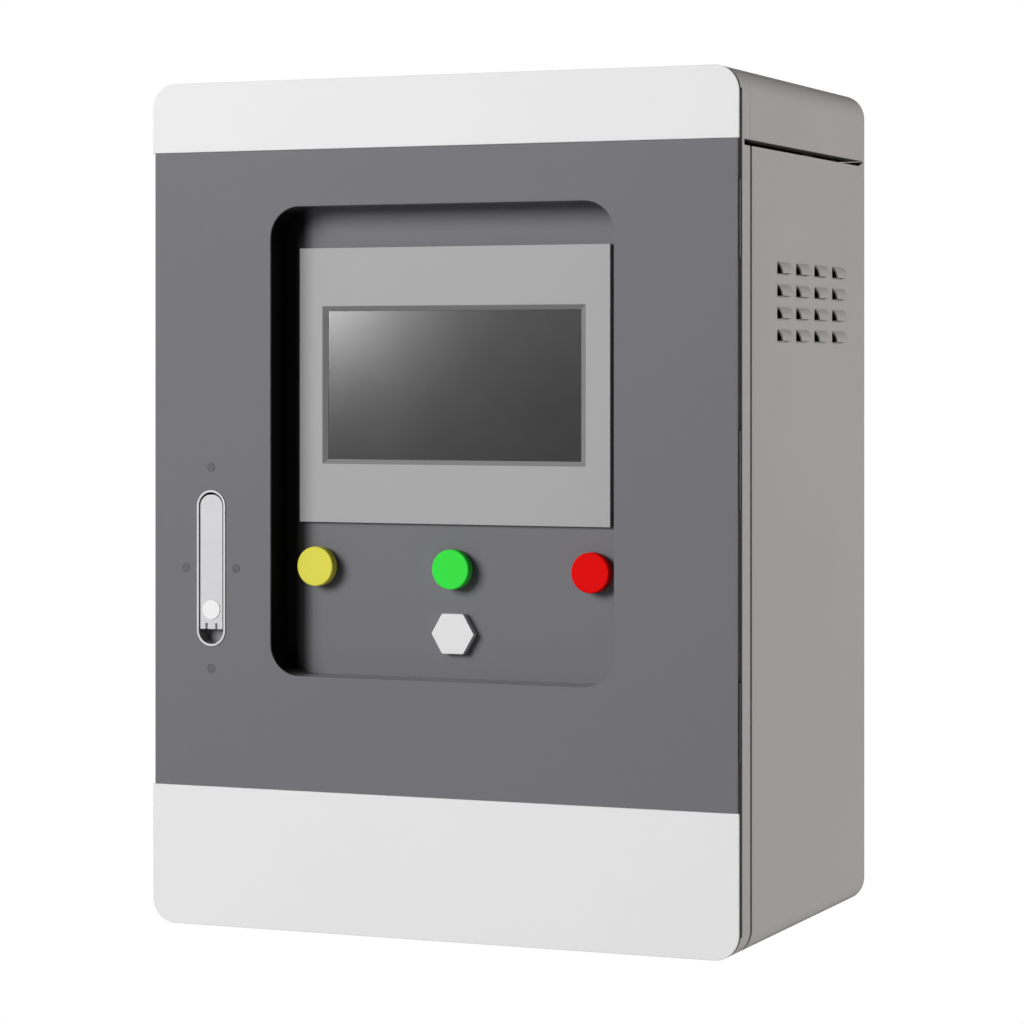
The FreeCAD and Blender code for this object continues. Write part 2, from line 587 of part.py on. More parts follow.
def make_trim(label, low, top, rounded):
    """Pale cover plate over one end of the door, a little wider than the door sheet."""
    body = new_body(label)
    plate = pad_rectangle(body, f"{label}_outline", "0", "0", f"(({low}) + ({top})) / 2", S.width,
                          f"({top}) - ({low})", S.trim_thick, S.outline_radius, rounded)
    round_front_edges(body, plate, "0", S.trim_edge)
    return body


def make_window_collar():
    """Folded tunnel from the door sheet back to the instrument panel, flanged at both ends."""
    body = new_body("window_collar")
    wall = S.sheet_metal
    flange = f"2 * {S.collar_flange}"
    tunnel = f"{PANEL_FRONT} - {SKIN_BACK}"
    flange_w = f"{S.window_wide} + {flange}"
    flange_h = f"{S.window_high} + {flange}"
    flange_bend = f"{S.window_radius} + {S.collar_flange}"
    pad_rectangle(body, "collar_front_flange", S.window_x, SKIN_BACK, S.window_z, flange_w, flange_h, wall,
                  flange_bend)
    pad_rectangle(body, "collar_tunnel", S.window_x, SKIN_BACK, S.window_z, f"{S.window_wide} + 2 * {wall}",
                  f"{S.window_high} + 2 * {wall}", tunnel, f"{S.window_radius} + {wall}")
    pad_rectangle(body, "collar_rear_flange", S.window_x, f"{PANEL_FRONT} - {wall}", S.window_z, flange_w,
                  flange_h, wall, flange_bend)
    cut_rectangle(body, "collar_mouth", S.window_x, SKIN_BACK, S.window_z, S.window_wide, S.window_high,
                  PANEL_FRONT, S.window_radius)
    return body


def control_places():
    """Yellow, green and red buttons, then the selector."""
    left = f"{S.button_x} - {S.button_pitch}"
    right = f"{S.button_x} + {S.button_pitch}"
    return [("yellow", left, S.button_z), ("green", S.button_x, S.button_z), ("red", right, S.button_z),
            ("selector", S.button_x, S.selector_z)]


def make_instrument_panel():
    """Sheet that closes the recess and carries the screen and the controls."""
    body = new_body("instrument_panel")
    margin = f"2 * {S.panel_margin}"
    pad_rectangle(body, "instrument_outline", S.window_x, PANEL_FRONT, S.window_z,
                  f"{S.window_wide} + {margin}", f"{S.window_high} + {margin}", S.sheet_metal,
                  S.window_radius)
    slack = f"4 * {S.air_gap}"
    cut_rectangle(body, "screen_cutout", S.window_x, PANEL_FRONT, S.hmi_z, f"{S.case_wide} + {slack}",
                  f"{S.case_high} + {slack}", S.sheet_metal)
    for name, x, z in control_places():
        cut_circle(body, f"control_hole_{name}", x, PANEL_FRONT, z, f"{S.barrel_radius} + {S.air_gap}",
                   S.sheet_metal)
    return body


def make_hmi_bezel():
    """Screen surround with a bevelled window and a rebate behind it for the glass."""
    front = f"({PANEL_FRONT} - {S.hmi_proud})"
    lap = f"2 * {S.glass_lap}"
    frame = box("bezel_block", around(S.window_x, S.hmi_wide), (front, PANEL_FRONT),
                around(S.hmi_z, S.hmi_high))
    rebate = box("bezel_rebate", around(S.window_x, f"{S.glass_wide} + {lap}"),
                 (f"{front} + {S.bevel_deep}", PANEL_FRONT), around(S.hmi_z, f"{S.glass_high} + {lap}"))
    bevel = doc.addObject("Part::Wedge", "bezel_bevel")
    step_x = f"({S.bevel_wide} - {S.glass_wide}) / 2"
    step_z = f"({S.bevel_high} - {S.glass_high}) / 2"
    bind(bevel, Xmin="0", Xmax=S.bevel_wide, Ymin="0", Ymax=S.bevel_deep, Zmin="0", Zmax=S.bevel_high,
         X2min=step_x, X2max=f"{S.bevel_wide} - {step_x}", Z2min=step_z, Z2max=f"{S.bevel_high} - {step_z}")
    place(bevel, f"{S.window_x} - {S.bevel_wide} / 2", front, f"{S.hmi_z} - {S.bevel_high} / 2")
    return subtract("hmi_bezel", frame, join("bezel_openings", [rebate, bevel]))


def make_hmi_glass():
    """Touch glass, held behind the bezel's window."""
    front = f"({PANEL_FRONT} - {S.hmi_proud} + {S.bevel_deep})"
    lap = f"2 * {S.glass_lap} - 2 * {S.air_gap}"
    return box("hmi_glass", around(S.window_x, f"{S.glass_wide} + {lap}"),
               (front, f"{front} + {S.glass_thick}"), around(S.hmi_z, f"{S.glass_high} + {lap}"))


def make_hmi_display():
    """Display module behind the glass."""
    front = f"({PANEL_FRONT} - {S.hmi_proud} + {S.bevel_deep} + {S.glass_thick})"
    lap = f"2 * {S.glass_lap} - 2 * {S.air_gap}"
    return box("hmi_display", around(S.window_x, f"{S.glass_wide} + {lap}"),
               (front, f"{front} + {S.display_deep}"), around(S.hmi_z, f"{S.glass_high} + {lap}"))


def make_hmi_case():
    """Rear housing of the screen, with a well at the front for the display."""
    lap = f"2 * {S.glass_lap}"
    step = f"{S.hmi_proud} - {S.bevel_deep} - {S.glass_thick}"
    outer = box("case_block", around(S.window_x, S.case_wide),
                (PANEL_FRONT, f"{PANEL_FRONT} + {S.case_deep}"), around(S.hmi_z, S.case_high))
    inner = box("case_well", around(S.window_x, f"{S.glass_wide} + {lap}"),
                (PANEL_FRONT, f"{PANEL_FRONT} + {S.display_deep} - ({step}) + {S.air_gap}"),
                around(S.hmi_z, f"{S.glass_high} + {lap}"))
    return subtract("hmi_rear_case", outer, inner)


def make_hmi_clamps():
    """Four blocks on the housing that grip the back of the panel."""
    blocks = []
    for x_sign, side in (("-1", "left"), ("1", "right")):
        for z_sign, level in (("-1", "low"), ("1", "high")):
            x = f"({S.window_x} + {x_sign} * ({S.case_wide} + {S.clamp_size}) / 2)"
            z = f"({S.hmi_z} + {z_sign} * {S.case_high} / 3)"
            blocks.append(box(f"clamp_{side}_{level}", around(x, S.clamp_size),
                              (PANEL_REAR, f"{PANEL_REAR} + {S.clamp_long}"), around(z, S.clamp_size)))
    return group("hmi_clamps", blocks)


def make_button_cap(colour, x, z):
    """Coloured cap with a hollow skirt and a stem to the contact block."""
    body = new_body(f"{colour}_button_cap")
    front = f"({PANEL_FRONT} - {S.cap_proud})"
    disc = pad_circle(body, f"{colour}_disc", x, front, z, S.cap_radius, S.cap_deep)
    round_front_edges(body, disc, front, S.cap_edge, "PartDesign::Chamfer")
    cut_circle(body, f"{colour}_hollow", x, f"{front} + {S.cap_web}", z, f"{S.cap_radius} - {S.cap_wall}",
               S.cap_deep)
    pad_circle(body, f"{colour}_stem", x, f"{front} + {S.cap_web}", z, S.stem_radius,
               f"{S.cap_proud} - {S.cap_web} + {S.stem_reach}")
    return body


def make_control_body(label, x, z, radius, proud):
    """Dark collar on the panel's face with a threaded barrel behind and a guide hole."""
    body = new_body(label)
    front = f"({PANEL_FRONT} - ({proud}))"
    pad_circle(body, f"{label}_collar", x, front, z, radius, proud)
    pad_circle(body, f"{label}_barrel", x, PANEL_FRONT, z, S.barrel_radius, S.barrel_deep)
    cut_circle(body, f"{label}_guide", x, front, z, S.guide_radius, f"{proud} + {S.barrel_deep}")
    return body


def make_panel_nuts():
    """Ring nuts that hold the controls to the panel."""
    nuts = []
    for name, x, z in control_places():
        ring = cylinder(f"nut_ring_{name}", "Y", x, PANEL_REAR, z, S.nut_radius, S.nut_thick)
        hole = cylinder(f"nut_hole_{name}", "Y", x, PANEL_REAR, z, f"{S.barrel_radius} + {S.air_gap}",
                        S.nut_thick)
        nuts.append(subtract(f"nut_{name}", ring, hole))
    return group("panel_nuts", nuts)


def make_contact_block(name, x, z):
    """Switch block on the end of a control's barrel, with a well for the stem."""
    front = f"({PANEL_FRONT} + {S.barrel_deep})"
    block = box(f"{name}_block", around(x, S.contact_size), (front, f"{front} + {S.contact_deep}"),
                around(z, S.contact_size))
    well = cylinder(f"{name}_well", "Y", x, front, z, f"{S.guide_radius} + {S.air_gap}", S.contact_well)
    return subtract(f"{name}_contact_block", block, well)


def make_selector_knob():
    """Six-sided knob with a recess over its collar and a stem."""
    front = f"({PANEL_FRONT} - {S.hex_proud})"
    rear = f"({PANEL_FRONT} - {S.hex_lift})"
    knob = doc.addObject("Part::Prism", "knob_hexagon")
    knob.Polygon = 6
    corner_radius = f"{S.hex_flats} / sqrt(3)"
    crown_radius = f"{corner_radius} - {S.hex_edge} / 2"
    bind(knob, Circumradius=corner_radius, Height=f"{rear} - {front}")
    facing_back = FreeCAD.Rotation(FreeCAD.Vector(1, 0, 0), -90)
    knob.Placement = FreeCAD.Placement(FreeCAD.Vector(0, 0, 0), facing_back)
    place(knob, S.button_x, front, S.selector_z)
    crown = doc.addObject("Part::Cone", "knob_crown")
    bind(crown, Radius1=crown_radius, Height=f"{rear} - {front}",
         Radius2=f"{crown_radius} + {rear} - {front}")
    crown.Placement = knob.Placement
    place(crown, S.button_x, front, S.selector_z)
    shaped = doc.addObject("Part::Common", "knob_shaped")
    shaped.Base = knob
    shaped.Tool = crown
    recess = cylinder("knob_recess", "Y", S.button_x, f"{rear} - {S.hex_recess}", S.selector_z,
                      f"{S.barrel_radius} + {S.sheet_metal} + {S.air_gap}", S.hex_recess)
    stem = cylinder("knob_stem", "Y", S.button_x, f"{rear} - {S.hex_recess}", S.selector_z, S.stem_radius,
                    f"{S.hex_recess} + {S.hex_lift} + {S.stem_reach}")
    return join("selector_knob", [subtract("knob_hollowed", shaped, recess), stem])


def make_latch_housing():
    """Long round-ended cup let into the door, with a thin pale rim on the door's face."""
    body = new_body("latch_housing")
    rim = f"{S.trim_thick} - {S.ring_proud}"
    pad_stadium(body, "latch_rim", S.latch_x, rim, S.latch_z, S.ring_wide, S.ring_high, S.ring_proud)
    pad_stadium(body, "latch_cup", S.latch_x, S.trim_thick, S.latch_z,
                f"{S.cavity_wide} + 2 * {S.cup_wall}", f"{S.cavity_high} + 2 * {S.cup_wall}",
                f"{S.cup_deep} - {S.trim_thick}")
    cut_stadium(body, "latch_cavity", S.latch_x, rim, S.latch_z, S.cavity_wide, S.cavity_high,
                f"{S.cup_deep} - {S.cup_floor} - {rim}")
    reach = f"{S.cavity_wide} + 4 * {S.cup_wall}"
    add_cross_hole(body, "latch_pin_hole", reach)
    return body


def pivot_height():
    return f"({S.latch_z} + {S.cavity_high} / 2 - {S.pivot_drop})"


def add_cross_hole(body, name, reach):
    """A hole along x through the latch pivot."""
    sketch = body.newObject("Sketcher::SketchObject", name)
    support = [f for f in body.Origin.OriginFeatures if f.Role == "YZ_Plane"][0]
    sketch.AttachmentSupport = (support, "")
    sketch.MapMode = "FlatFace"
    bind(sketch, AttachmentOffset__Base__x=S.pivot_deep, AttachmentOffset__Base__y=pivot_height(),
         AttachmentOffset__Base__z=f"{S.latch_x} - ({reach}) / 2")
    draw_circle(sketch, S.pin_hole)
    pocket = body.newObject("PartDesign::Pocket", f"{name}_cut")
    pocket.Profile = sketch
    pocket.Reversed = True
    bind(pocket, Length=reach)
    doc.recompute()


def make_latch_lever():
    """Pull lever: round at the top, cut square at the foot with two small slots."""
    body = new_body("latch_lever")
    top = f"({pivot_height()} + {S.lever_round})"
    pad_rectangle(body, "lever_outline", S.latch_x, LEVER_FRONT, f"({top} + {S.lever_foot}) / 2",
                  S.lever_wide, f"{top} - {S.lever_foot}", S.lever_thick, S.lever_round,
                  (False, False, True, True))
    for sign, name in (("-1", "lever_slot_left"), ("1", "lever_slot_right")):
        cut_rectangle(body, name, f"{S.latch_x} + {sign} * {S.notch_pitch} / 2", LEVER_FRONT,
                      f"{S.lever_foot} + {S.notch_high} / 2", S.notch_wide, S.notch_high, S.notch_deep)
    cut_circle(body, "lever_button_hole", S.latch_x, LEVER_FRONT, S.release_z, S.release_hole,
               S.lever_thick)
    add_cross_hole(body, "lever_pin_hole", f"2 * {S.lever_wide}")
    return body


def make_latch_pin():
    """Pin across the top of the lever, held in the cup's walls."""
    reach = f"({S.cavity_wide} + 2 * {S.cup_wall})"
    return cylinder("latch_pin", "X", f"{S.latch_x} - {reach} / 2", S.pivot_deep, pivot_height(),
                    S.pin_radius, reach)


def make_release_button():
    """Round button in the lever's foot."""
    front = f"({LEVER_FRONT} - {S.release_proud})"
    return cylinder("release_button", "Y", S.latch_x, front, S.release_z, S.release_radius, S.release_deep)


BOLT_Y = f"({S.frame_lip} + {S.air_gap})"


def make_latch_bolt():
    """Sliding bolt that reaches behind the frame's lip."""
    tip = f"(-({S.width} / 2) + {S.frame_face} - {S.bolt_reach})"
    return box("latch_bolt", (tip, f"{tip} + {S.bolt_long}"), (BOLT_Y, f"{BOLT_Y} + {S.bolt_thick}"),
               around(S.latch_z, S.bolt_high))


def make_latch_carrier():
    """Block behind the cup that guides the bolt."""
    width = f"{S.cavity_wide} + 2 * {S.cup_wall}"
    high = f"{S.bolt_high} + 2 * {S.guide_block}"
    bolt_back = f"{BOLT_Y} + {S.bolt_thick}"
    block = box("carrier_block", around(S.latch_x, width), (S.cup_deep, f"{bolt_back} + {S.cup_floor}"),
                around(S.latch_z, high))
    channel = box("carrier_channel", around(S.latch_x, f"2 * ({width})"),
                  (f"{BOLT_Y} - {S.bolt_slack}", f"{bolt_back} + {S.bolt_slack}"),
                  around(S.latch_z, f"{S.bolt_high} + {S.air_gap}"))
    return subtract("latch_carrier", block, channel)


def make_latch_plate():
    """Stiffening plate behind the door sheet round the latch."""
    body = new_body("latch_plate")
    pad_rectangle(body, "plate_outline", S.latch_x, SKIN_BACK, S.latch_z, S.plate_wide, S.plate_high,
                  S.sheet_metal)
    cut_stadium(body, "plate_hole", S.latch_x, SKIN_BACK, S.latch_z,
                f"{S.cavity_wide} + 2 * {S.cup_wall} + 2 * {S.air_gap}",
                f"{S.cavity_high} + 2 * {S.cup_wall} + 2 * {S.air_gap}", S.sheet_metal)
    for index, (x, z) in enumerate(rivet_places(), start=1):
        cut_circle(body, f"plate_rivet_hole_{index}", x, SKIN_BACK, z, S.rivet_hole, S.sheet_metal)
    return body


def make_latch_rivets():
    """Four flush rivets through the door sheet and the stiffening plate."""
    rivets = []
    for index, (x, z) in enumerate(rivet_places(), start=1):
        shank = cylinder(f"rivet_{index}_shank", "Y", x, f"{S.trim_thick}", z, S.rivet_radius,
                         f"{S.skin_thick} + {S.sheet_metal}")
        tail = cylinder(f"rivet_{index}_tail", "Y", x, f"{SKIN_BACK} + {S.sheet_metal}", z,
                        S.rivet_tail, S.leaf_thick)
        rivets.append(join(f"rivet_{index}", [shank, tail]))
    return group("latch_rivets", rivets)


def make_door_seal():
    """Soft seal ring on the door's back, over the frame's face."""
    body = new_body("door_seal")
    margin = f"2 * {S.seal_margin}"
    length = f"{S.frame_front} - {S.air_gap} - {SKIN_BACK} - {S.air_gap}"
    start = f"{SKIN_BACK} + {S.air_gap}"
    pad_rectangle(body, "seal_outer", "0", start, OUTLINE_Z, f"{S.width} - {margin}",
                  f"{S.height} - {margin}", length, f"{S.frame_corner} + {S.seal_wide}")
    cut_rectangle(body, "seal_inner", "0", start, OUTLINE_Z, f"{S.width} - {margin} - 2 * {S.seal_wide}",
                  f"{S.height} - {margin} - 2 * {S.seal_wide}", length, S.frame_corner)
    return body


# ---------------------------------------------------------------- hinges

HINGE_X = f"({S.width} / 2 - {S.hinge_edge})"


def hinge_levels():
    return [(name, f"({S.hinge_low} + {index} * {S.hinge_pitch})")
            for index, name in enumerate(("bottom", "middle", "top"))]


def leaf_with_knuckles(label, leaf_y, low, spans):
    """A thin leaf with knuckles at the given thirds of the hinge."""
    third = f"({S.hinge_long} / 3)"
    half_gap = f"{S.air_gap} / 2"
    reach = f"2 * {S.knuckle_radius}"
    leaf = box(f"{label}_leaf", (f"{HINGE_X} - {S.leaf_wide}", HINGE_X), leaf_y,
               (low, f"{low} + {S.hinge_long}"))
    solids = [leaf]
    cuts = [cylinder(f"{label}_bore", "Z", HINGE_X, S.hinge_deep, f"{low} - {S.air_gap}", S.pin_hole,
                     f"{S.hinge_long} + 2 * {S.air_gap}")]
    for part in range(3):
        start = f"({low} + {part} * {third})"
        if part in spans:
            solids.append(cylinder(f"{label}_knuckle_{part}", "Z", HINGE_X, S.hinge_deep,
                                   f"{start} + {half_gap}", S.knuckle_radius, f"{third} - {S.air_gap}"))
        else:
            cuts.append(box(f"{label}_gap_{part}",
                            (f"{HINGE_X} - {S.knuckle_radius} - {S.air_gap}",
                             f"{HINGE_X} + {S.knuckle_radius}"),
                            (f"{S.hinge_deep} - {reach}", f"{S.hinge_deep} + {reach}"),
                            (f"{start} - {half_gap}", f"{start} + {third} + {half_gap}")))
    return subtract(label, join(f"{label}_solid", solids), join(f"{label}_cuts", cuts))


def make_hinge(name, low):
    frame_leaf = leaf_with_knuckles(f"hinge_frame_leaf_{name}",
                                    (f"{S.frame_front} - {S.leaf_thick}", S.frame_front), low, (0, 2))
    door_leaf = leaf_with_knuckles(f"hinge_door_leaf_{name}",
                                   (SKIN_BACK, f"{SKIN_BACK} + {S.leaf_thick}"), low, (1,))
    return [frame_leaf, door_leaf]


def make_hinge_pins():
    """One loose pin through the knuckles of each hinge."""
    pins = [cylinder(f"hinge_pin_{name}", "Z", HINGE_X, S.hinge_deep, low, S.pin_radius, S.hinge_long)
            for name, low in hinge_levels()]
    return group("hinge_pins", pins)


# ---------------------------------------------------------------- equipment inside

BOARD_FRONT = S.plate_back
RAIL_FRONT = f"({S.plate_back} - {S.rail_deep})"


def make_mounting_plate():
    """Flat sheet that carries the equipment."""
    return box("mounting_plate", around("0", S.board_wide),
               (BOARD_FRONT, f"{BOARD_FRONT} + {S.plate_thick}"),
               (S.board_low, f"{S.board_low} + {S.board_high}"))


def make_standoffs():
    """Four posts between the back and the mounting plate."""
    posts = []
    start = f"({BOARD_FRONT} + {S.plate_thick})"
    for sign, side in (("-1", "left"), ("1", "right")):
        for rise, level in (("0", "low"), (S.standoff_rise, "high")):
            posts.append(cylinder(f"standoff_{side}_{level}", "Y", f"{sign} * {S.standoff_x}", start,
                                  f"{S.standoff_low} + {rise}", S.standoff_radius,
                                  f"{SHEET_BACK} - {start}"))
    return group("plate_standoffs", posts)


def make_rail(label, level):
    """Hat-section rail across the mounting plate."""
    web = box(f"{label}_web", around("0", S.rail_long), (f"{BOARD_FRONT} - {S.rail_metal}", BOARD_FRONT),
              around(level, f"{S.rail_high} - 2 * {S.rail_lip}"))
    parts = [web]
    for sign, side in (("-1", "low"), ("1", "high")):
        leg = f"({level} + {sign} * ({S.rail_high} / 2 - {S.rail_lip} - {S.rail_metal} / 2))"
        lip = f"({level} + {sign} * ({S.rail_high} / 2 - {S.rail_lip} / 2 - {S.rail_metal} / 2))"
        parts.append(box(f"{label}_leg_{side}", around("0", S.rail_long), (RAIL_FRONT, BOARD_FRONT),
                         around(leg, S.rail_metal)))
        parts.append(box(f"{label}_lip_{side}", around("0", S.rail_long),
                         (RAIL_FRONT, f"{RAIL_FRONT} + {S.rail_metal}"),
                         around(lip, f"{S.rail_lip} + {S.rail_metal}")))
    return join(label, parts)


def make_duct(label, level):
    """Slotted wiring duct, open to the front."""
    outer = box(f"{label}_outer", around("0", S.duct_wide), (f"{BOARD_FRONT} - {S.duct_deep}", BOARD_FRONT),
                around(level, S.duct_high))
    inner = box(f"{label}_inner", around("0", f"2 * {S.duct_wide}"),
                (f"{BOARD_FRONT} - 2 * {S.duct_deep}", f"{BOARD_FRONT} - {S.duct_wall}"),
                around(level, f"{S.duct_high} - 2 * {S.duct_wall}"))
    return subtract(label, outer, inner)


def make_duct_cover(label, level):
    """Snap-on lid of a wiring duct."""
    front = f"({BOARD_FRONT} - {S.duct_deep})"
    return box(label, around("0", S.duct_wide), (f"{front} - {S.duct_wall}", front),
               around(level, S.duct_high))


def make_main_breaker():
    """Moulded main switch on the upper rail, stepped at the front."""
    left = f"(-{S.rail_long} / 2 + {S.breaker_start})"
    front = f"({RAIL_FRONT} - {S.breaker_deep})"
    block = box("breaker_block", (left, f"{left} + {S.breaker_wide}"), (front, RAIL_FRONT),
                around(S.rail_upper, S.breaker_high))
    nose = box("breaker_nose", (left, f"{left} + {S.breaker_wide}"), (f"{front} - {S.nose_deep}", front),
               around(S.rail_upper, S.nose_high))
    slot = box("breaker_slot", around(f"({left} + {S.breaker_wide} / 2)", S.toggle_wide),
               (f"{front} - {S.nose_deep}", front), around(S.rail_upper, S.nose_slot))
    return subtract("main_breaker", join("breaker_body", [block, nose]), slot)


def make_breaker_toggle():
    """Rocking lever of the main switch."""
    left = f"(-{S.rail_long} / 2 + {S.breaker_start})"
    front = f"({RAIL_FRONT} - {S.breaker_deep})"
    centre = f"({left} + {S.breaker_wide} / 2)"
    wide = f"({S.toggle_wide} - 2 * {S.air_gap})"
    hub_y = f"({front} - {S.nose_deep} / 2)"
    hub = cylinder("toggle_hub", "X", f"{centre} - {wide} / 2", hub_y, S.rail_upper,
                   f"{S.nose_deep} / 2 - {S.air_gap}", wide)
    bat = box("toggle_bat", around(centre, wide), (f"{hub_y} - {S.toggle_reach}", hub_y),
              around(S.rail_upper, f"{S.nose_deep} / 2"))
    return join("breaker_toggle", [hub, bat])


def make_power_supply():
    """Rail-mounted supply unit."""
    right = f"({S.rail_long} / 2 - {S.supply_end})"
    return box("power_supply", (f"{right} - {S.supply_wide}", right),
               (f"{RAIL_FRONT} - {S.supply_deep}", RAIL_FRONT), around(S.rail_upper, S.supply_high))


def make_controller():
    """Rail-mounted controller."""
    left = f"(-{S.rail_long} / 2 + {S.logic_start})"
    return box("controller", (left, f"{left} + {S.logic_wide}"),
               (f"{RAIL_FRONT} - {S.logic_deep}", RAIL_FRONT), around(S.rail_lower, S.logic_high))


def make_terminal_blocks():
    """Row of loose terminal blocks on the lower rail."""
    blocks = []
    for index in range(BLOCK_COUNT):
        left = f"({S.block_start} + {index} * {S.block_pitch})"
        blocks.append(box(f"terminal_{index + 1}", (left, f"{left} + {S.block_wide}"),
                          (f"{RAIL_FRONT} - {S.block_deep}", RAIL_FRONT),
                          around(S.rail_lower, S.block_high)))
    return group("terminal_blocks", blocks)


def make_earth_bar():
    """Brass bar on two feet at the bottom of the mounting plate."""
    bar = box("earth_bar_strip", around("0", S.earth_long),
              (f"{BOARD_FRONT} - {S.earth_lift} - {S.earth_thick}", f"{BOARD_FRONT} - {S.earth_lift}"),
              around(S.earth_z, S.earth_high))
    foot_x = f"({S.earth_long} - {S.earth_high}) / 2"
    feet = [box(f"earth_foot_{side}", around(f"{sign} * {foot_x}", S.earth_high),
                (f"{BOARD_FRONT} - {S.earth_lift}", BOARD_FRONT), around(S.earth_z, S.earth_high))
            for sign, side in (("-1", "left"), ("1", "right"))]
    return join("earth_bar", [bar] + feet)


def make_grommets():
    """Soft rings in the two cable holes of the base."""
    floor = f"({S.frame_joggle} + {S.sheet_metal})"
    rings = []
    for sign, side in (("-1", "left"), ("1", "right")):
        x = f"{sign} * {S.entry_x}"
        neck = cylinder(f"grommet_{side}_neck", "Z", x, S.entry_y, S.air_gap,
                        f"{S.entry_hole} - {S.air_gap}", floor)
        lip = cylinder(f"grommet_{side}_lip", "Z", x, S.entry_y, f"{floor} + {S.air_gap}",
                       f"{S.entry_hole} + {S.grommet_lip}", S.grommet_thick)
        bore = cylinder(f"grommet_{side}_bore", "Z", x, S.entry_y, "0", S.entry_radius,
                        f"{floor} + 2 * {S.grommet_thick}")
        rings.append(subtract(f"grommet_{side}", join(f"grommet_{side}_solid", [neck, lip]), bore))
    return group("cable_grommets", rings)


# ---------------------------------------------------------------- build and write out


def case_parts():
    top_only = (False, False, True, True)
    foot_only = (True, True, False, False)
    return [make_body_shell(), make_front_frame(), make_base_pan(), make_rear_panel(), make_top_hood(),
            make_roof_panel(), make_door_skin(),
            make_trim("top_trim_cover", S.top_band, S.height, top_only),
            make_trim("bottom_trim_cover", "0", S.bottom_band, foot_only)]


def control_parts():
    parts = [make_window_collar(), make_instrument_panel(), make_hmi_bezel(), make_hmi_glass(),
             make_hmi_display(), make_hmi_case(), make_hmi_clamps(), make_panel_nuts(), make_selector_knob()]
    collar = f"{S.cap_radius} - {S.cap_wall} - {S.air_gap}"
    proud = f"{S.cap_proud} - {S.cap_web} - {S.cap_travel} - {S.air_gap}"
    for name, x, z in control_places():
        parts.append(make_contact_block(name, x, z))
        if name == "selector":
            parts.append(make_control_body("selector_body", x, z, f"{S.barrel_radius} + {S.sheet_metal}",
                                           f"{S.hex_lift} + {S.hex_recess} / 2"))
        else:
            parts.append(make_button_cap(name, x, z))
            parts.append(make_control_body(f"{name}_button_body", x, z, collar, proud))
    return parts


def latch_and_hinge_parts():
    parts = [make_latch_housing(), make_latch_lever(), make_latch_pin(), make_release_button(),
             make_latch_bolt(), make_latch_carrier(), make_latch_plate(), make_latch_rivets(),
             make_door_seal(), make_hinge_pins()]
    for name, low in hinge_levels():
        parts += make_hinge(name, low)
    return parts


def equipment_parts():
    parts = [make_mounting_plate(), make_standoffs(), make_main_breaker(), make_breaker_toggle(),
             make_power_supply(), make_controller(), make_terminal_blocks(), make_earth_bar(),
             make_grommets()]
    for name, rail, duct in (("upper", S.rail_upper, S.duct_upper), ("lower", S.rail_lower, S.duct_lower)):
        parts.append(make_rail(f"din_rail_{name}", rail))
        parts.append(make_duct(f"wiring_duct_{name}", duct))
        parts.append(make_duct_cover(f"duct_cover_{name}", duct))
    return parts


def check(thing):
    if "Invalid" in thing.State or "Error" in thing.State:
        raise RuntimeError(f"{thing.Name} did not compute: {thing.State}")


PARTS = case_parts() + control_parts() + latch_and_hinge_parts() + equipment_parts()
doc.recompute()
for thing in doc.Objects:
    check(thing)
os.makedirs("parts", exist_ok=True)
for part in PARTS:
    if part.Shape.isNull() or not part.Shape.isValid() or not part.Shape.Solids:
        raise RuntimeError(f"{part.Label} has no valid solid")
    part.Shape.exportStep(f"parts/{part.Label}.step")
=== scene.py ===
import bpy
import math
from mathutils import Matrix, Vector


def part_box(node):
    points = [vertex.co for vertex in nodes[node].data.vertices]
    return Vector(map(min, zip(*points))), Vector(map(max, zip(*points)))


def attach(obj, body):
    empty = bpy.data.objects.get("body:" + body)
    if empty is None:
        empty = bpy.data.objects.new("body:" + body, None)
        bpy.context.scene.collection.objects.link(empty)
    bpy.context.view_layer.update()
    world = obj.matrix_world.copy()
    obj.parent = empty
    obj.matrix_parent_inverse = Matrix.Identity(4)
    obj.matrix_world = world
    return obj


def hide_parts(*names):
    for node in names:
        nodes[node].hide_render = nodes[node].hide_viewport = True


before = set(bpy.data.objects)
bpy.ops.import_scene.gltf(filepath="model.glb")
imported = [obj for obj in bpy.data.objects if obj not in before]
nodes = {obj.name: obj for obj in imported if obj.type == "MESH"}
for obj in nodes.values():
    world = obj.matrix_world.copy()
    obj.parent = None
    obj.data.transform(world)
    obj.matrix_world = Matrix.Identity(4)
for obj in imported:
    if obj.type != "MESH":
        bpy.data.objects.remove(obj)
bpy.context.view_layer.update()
scene = bpy.context.scene
mm = 0.001

# ------------------------------------------------------------------ room, camera and light
# A white studio. A wide soft lamp stands to the left of the door and a low one beside the right flank; a
# small one shows only as the sheen on glossy faces, such as the screen's glass.

scene.view_settings.view_transform = "Standard"

lens_data = bpy.data.cameras.new("studio_camera")
lens_data.lens = 119.6
lens_data.sensor_width = 36
lens_data.shift_x = -0.022
lens_data.shift_y = -0.138
lens_data.clip_end = 60
studio_camera = bpy.data.objects.new("studio_camera", lens_data)
studio_camera.location = (1.087, -2.744, 0.107)
studio_camera.rotation_euler = (math.radians(90), 0, math.radians(22.5))
scene.collection.objects.link(studio_camera)
scene.camera = studio_camera


def soft_lamp(name, place, aim, wide, high, watts, tint=(1, 1, 1)):
    """A rectangular studio lamp that faces a point."""
    lamp_data = bpy.data.lights.new(name, "AREA")
    lamp_data.shape = "RECTANGLE"
    lamp_data.size = wide
    lamp_data.size_y = high
    lamp_data.energy = watts
    lamp_data.color = tint
    lamp = bpy.data.objects.new(name, lamp_data)
    lamp.location = place
    lamp.rotation_euler = (Vector(aim) - Vector(place)).to_track_quat("-Z", "Y").to_euler()
    scene.collection.objects.link(lamp)
    return lamp


